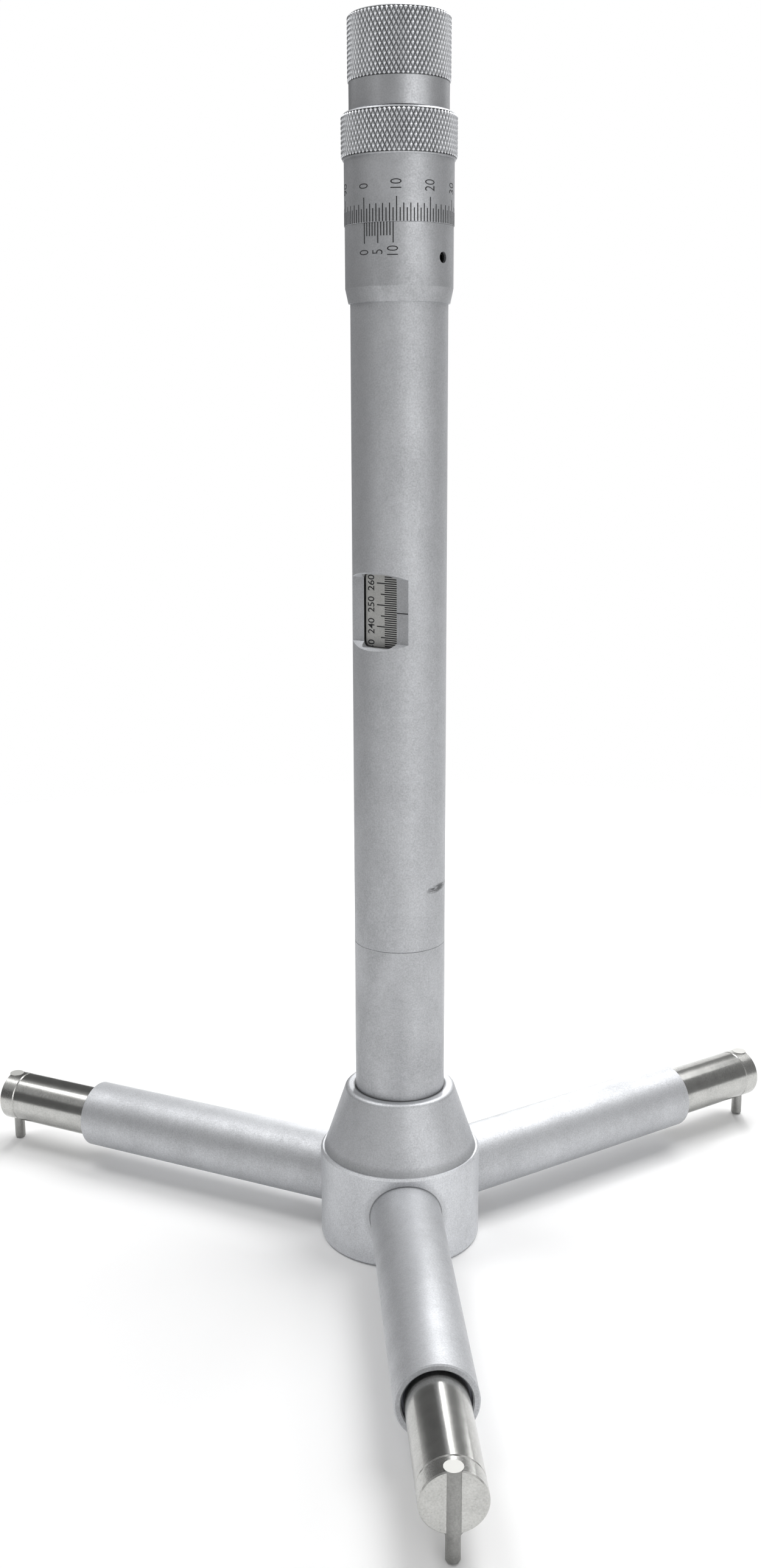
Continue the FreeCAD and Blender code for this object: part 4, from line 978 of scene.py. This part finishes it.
class MICROMETER_OT_engrave_scale(Operator):
    """Main scale on the bar and the index line beside the window"""

    bl_idname = "micrometer.engrave_scale"
    bl_label = "Main scale"

    def execute(self, context):
        marks = context.scene.micrometer_marks
        forms = context.scene.micrometer_forms
        unit = 0.5 * MM
        reading = 247
        low, high, first_figure = 226, 268, 230
        width = marks.scale_line
        parts = []
        drawn = 0.0
        for every, length in ((1, marks.scale_short), (5, marks.scale_five),
                              (10, marks.scale_ten)):
            first = -(-low // every) * every
            parts.append(grid_lines(
                width, length - drawn, every * unit, (high - first) // every + 1,
                forms.index_height + (first - reading) * unit, marks.scale_edge - length))
            drawn = length
        for value in range(first_figure, high + 1, 10):
            words = figures(str(value), marks.scale_figure_height, *SCALE_FIGURE)
            words.rotation_euler = (0, 0, math.radians(90))
            words.location = (
                -marks.scale_figures, forms.index_height + (value - reading) * unit, 0)
            bpy.ops.object.transform_apply(location=True, rotation=True)
            parts.append(words)
        scale = joined(*parts)
        scale.matrix_world = on_window(forms.window_turn, forms.bar_face)
        thicken(scale, marks.line_depth)
        settle(scale, "scale_marks", "rod", FINISH_OF["ink"])
        index = grid_lines(marks.line_width, marks.index_length, unit, 1,
                           forms.index_height, marks.index_start)
        index.matrix_world = on_window(forms.window_turn, forms.window_flat)
        thicken(index, marks.line_depth)
        settle(index, "index_line", "housing", FINISH_OF["ink"])
        return {"FINISHED"}


class MICROMETER_OT_set_stage(Operator):
    """Floor, lamps, world and camera"""

    bl_idname = "micrometer.set_stage"
    bl_label = "Stage"

    def execute(self, context):
        stage = context.scene.micrometer_stage
        lay_floor()
        light_world(context.scene)
        hang_lamps()
        hang_cards()
        aim_camera(context.scene, stage)
        context.scene.view_settings.view_transform = "Standard"
        return {"FINISHED"}


def lay_floor():
    """Round white floor that fades into the background."""
    nothing_selected()
    bpy.ops.mesh.primitive_circle_add(vertices=96, radius=FLOOR_RADIUS, fill_type="NGON")
    floor = bpy.context.object
    floor.name = "floor"
    finish = Finish("floor white", (0.93, 0.93, 0.93), 0.8, 0.0)
    finish.cover(((radial(finish) - FADE_START) / FADE_WIDTH).clipped())
    floor.data.materials.append(finish.material)


def light_world(scene):
    """White background for camera, gloss and glass, softer light for everything else."""
    world = bpy.data.worlds.new("studio")
    scene.world = world
    world.use_nodes = True
    board = Board(world.node_tree)
    path = board.node("ShaderNodeLightPath", {}, {})
    seen = board.tone(path, "Is Camera Ray")
    for kind in ("Is Glossy Ray", "Is Transmission Ray"):
        seen = seen + board.tone(path, kind)
    back = board.own("BACKGROUND")
    board.feed(back.inputs["Color"], (1.0, 1.0, 1.0, 1.0))
    board.feed(back.inputs["Strength"], seen.clipped() * 0.15 + 0.85)


def hang_lamps():
    """Large lamps overhead, two strips behind, and a soft front light."""
    for name, (place, target, width, height, power) in LAMPS.items():
        data = bpy.data.lights.new(name, "AREA")
        data.shape = "RECTANGLE"
        data.size = width
        data.size_y = height
        data.energy = power
        lamp = bpy.data.objects.new(name, data)
        bpy.context.scene.collection.objects.link(lamp)
        lamp.location = place
        aim = Vector(target) - Vector(place)
        lamp.rotation_euler = aim.to_track_quat("-Z", "Y").to_euler()
        lamp.visible_camera = False


def hang_cards():
    """Grey and dark cards around the object, for the darker bands in the metal."""
    for name, (place, width, height, shade) in CARDS.items():
        finish = Finish(name, (0.0, 0.0, 0.0), 1.0, 0.0)
        finish.set(**{"Emission Color": (shade, shade, shade, 1.0), "Emission Strength": 1.0})
        path = finish.node("ShaderNodeLightPath", {}, {})
        finish.cover(finish.tone(path, "Is Camera Ray"))
        nothing_selected()
        bpy.ops.mesh.primitive_plane_add(size=1.0)
        card = bpy.context.object
        card.name = name
        card.scale = (width, height, 1.0)
        card.location = place
        aim = Vector(MIDDLE) - Vector(place)
        card.rotation_euler = aim.to_track_quat("Z", "Y").to_euler()
        card.data.materials.append(finish.material)


def aim_camera(scene, stage):
    """Camera at the photograph's place and angle."""
    photo_height = 2576.0
    data = bpy.data.cameras.new("camera")
    data.sensor_fit = "VERTICAL"
    data.sensor_height = 36.0
    data.lens = stage.focal_pixels / photo_height * data.sensor_height
    camera = bpy.data.objects.new("camera", data)
    scene.collection.objects.link(camera)
    ahead = Vector((math.sin(stage.heading) * math.cos(stage.pitch),
                    math.cos(stage.heading) * math.cos(stage.pitch), math.sin(stage.pitch)))
    right = ahead.cross(Vector((0, 0, 1))).normalized()
    up = right.cross(ahead)
    turned = math.cos(stage.roll) * right + math.sin(stage.roll) * up
    raised = math.cos(stage.roll) * up - math.sin(stage.roll) * right
    camera.matrix_world = Matrix((
        (turned.x, raised.x, -ahead.x, stage.eye[0]),
        (turned.y, raised.y, -ahead.y, stage.eye[1]),
        (turned.z, raised.z, -ahead.z, stage.eye[2]), (0, 0, 0, 1)))
    scene.camera = camera


class MICROMETER_PT_panel(Panel):
    """Lists the pieces in the sidebar"""

    bl_idname = "MICROMETER_PT_panel"
    bl_label = "Inside micrometer"
    bl_space_type = "VIEW_3D"
    bl_region_type = "UI"
    bl_category = "Micrometer"

    def draw(self, context):
        column = self.layout.column()
        for step in STEPS:
            column.operator(step)


STEPS = (
    "micrometer.dress_frame", "micrometer.add_cap", "micrometer.add_thimble",
    "micrometer.engrave_thimble", "micrometer.engrave_vernier", "micrometer.engrave_scale",
    "micrometer.set_stage")
GROUPS = (
    ("micrometer_forms", MicrometerForms), ("micrometer_marks", MicrometerMarks),
    ("micrometer_finishes", MicrometerFinishes), ("micrometer_stage", MicrometerStage))
OPERATORS = (
    MICROMETER_OT_dress_frame, MICROMETER_OT_add_cap, MICROMETER_OT_add_thimble,
    MICROMETER_OT_engrave_thimble, MICROMETER_OT_engrave_vernier, MICROMETER_OT_engrave_scale,
    MICROMETER_OT_set_stage, MICROMETER_PT_panel)


def register():
    """Registers the classes and hangs the groups on the scene."""
    for name, group in GROUPS:
        bpy.utils.register_class(group)
        setattr(bpy.types.Scene, name, PointerProperty(type=group))
    for operator in OPERATORS:
        bpy.utils.register_class(operator)


def unregister():
    """Takes back what register did."""
    for operator in reversed(OPERATORS):
        bpy.utils.unregister_class(operator)
    for name, group in reversed(GROUPS):
        delattr(bpy.types.Scene, name)
        bpy.utils.unregister_class(group)


def main():
    """Builds everything in order."""
    register()
    for step in STEPS:
        group, name = step.split(".")
        getattr(getattr(bpy.ops, group), name)()
    nothing_selected()


if __name__ == "__main__":
    main()
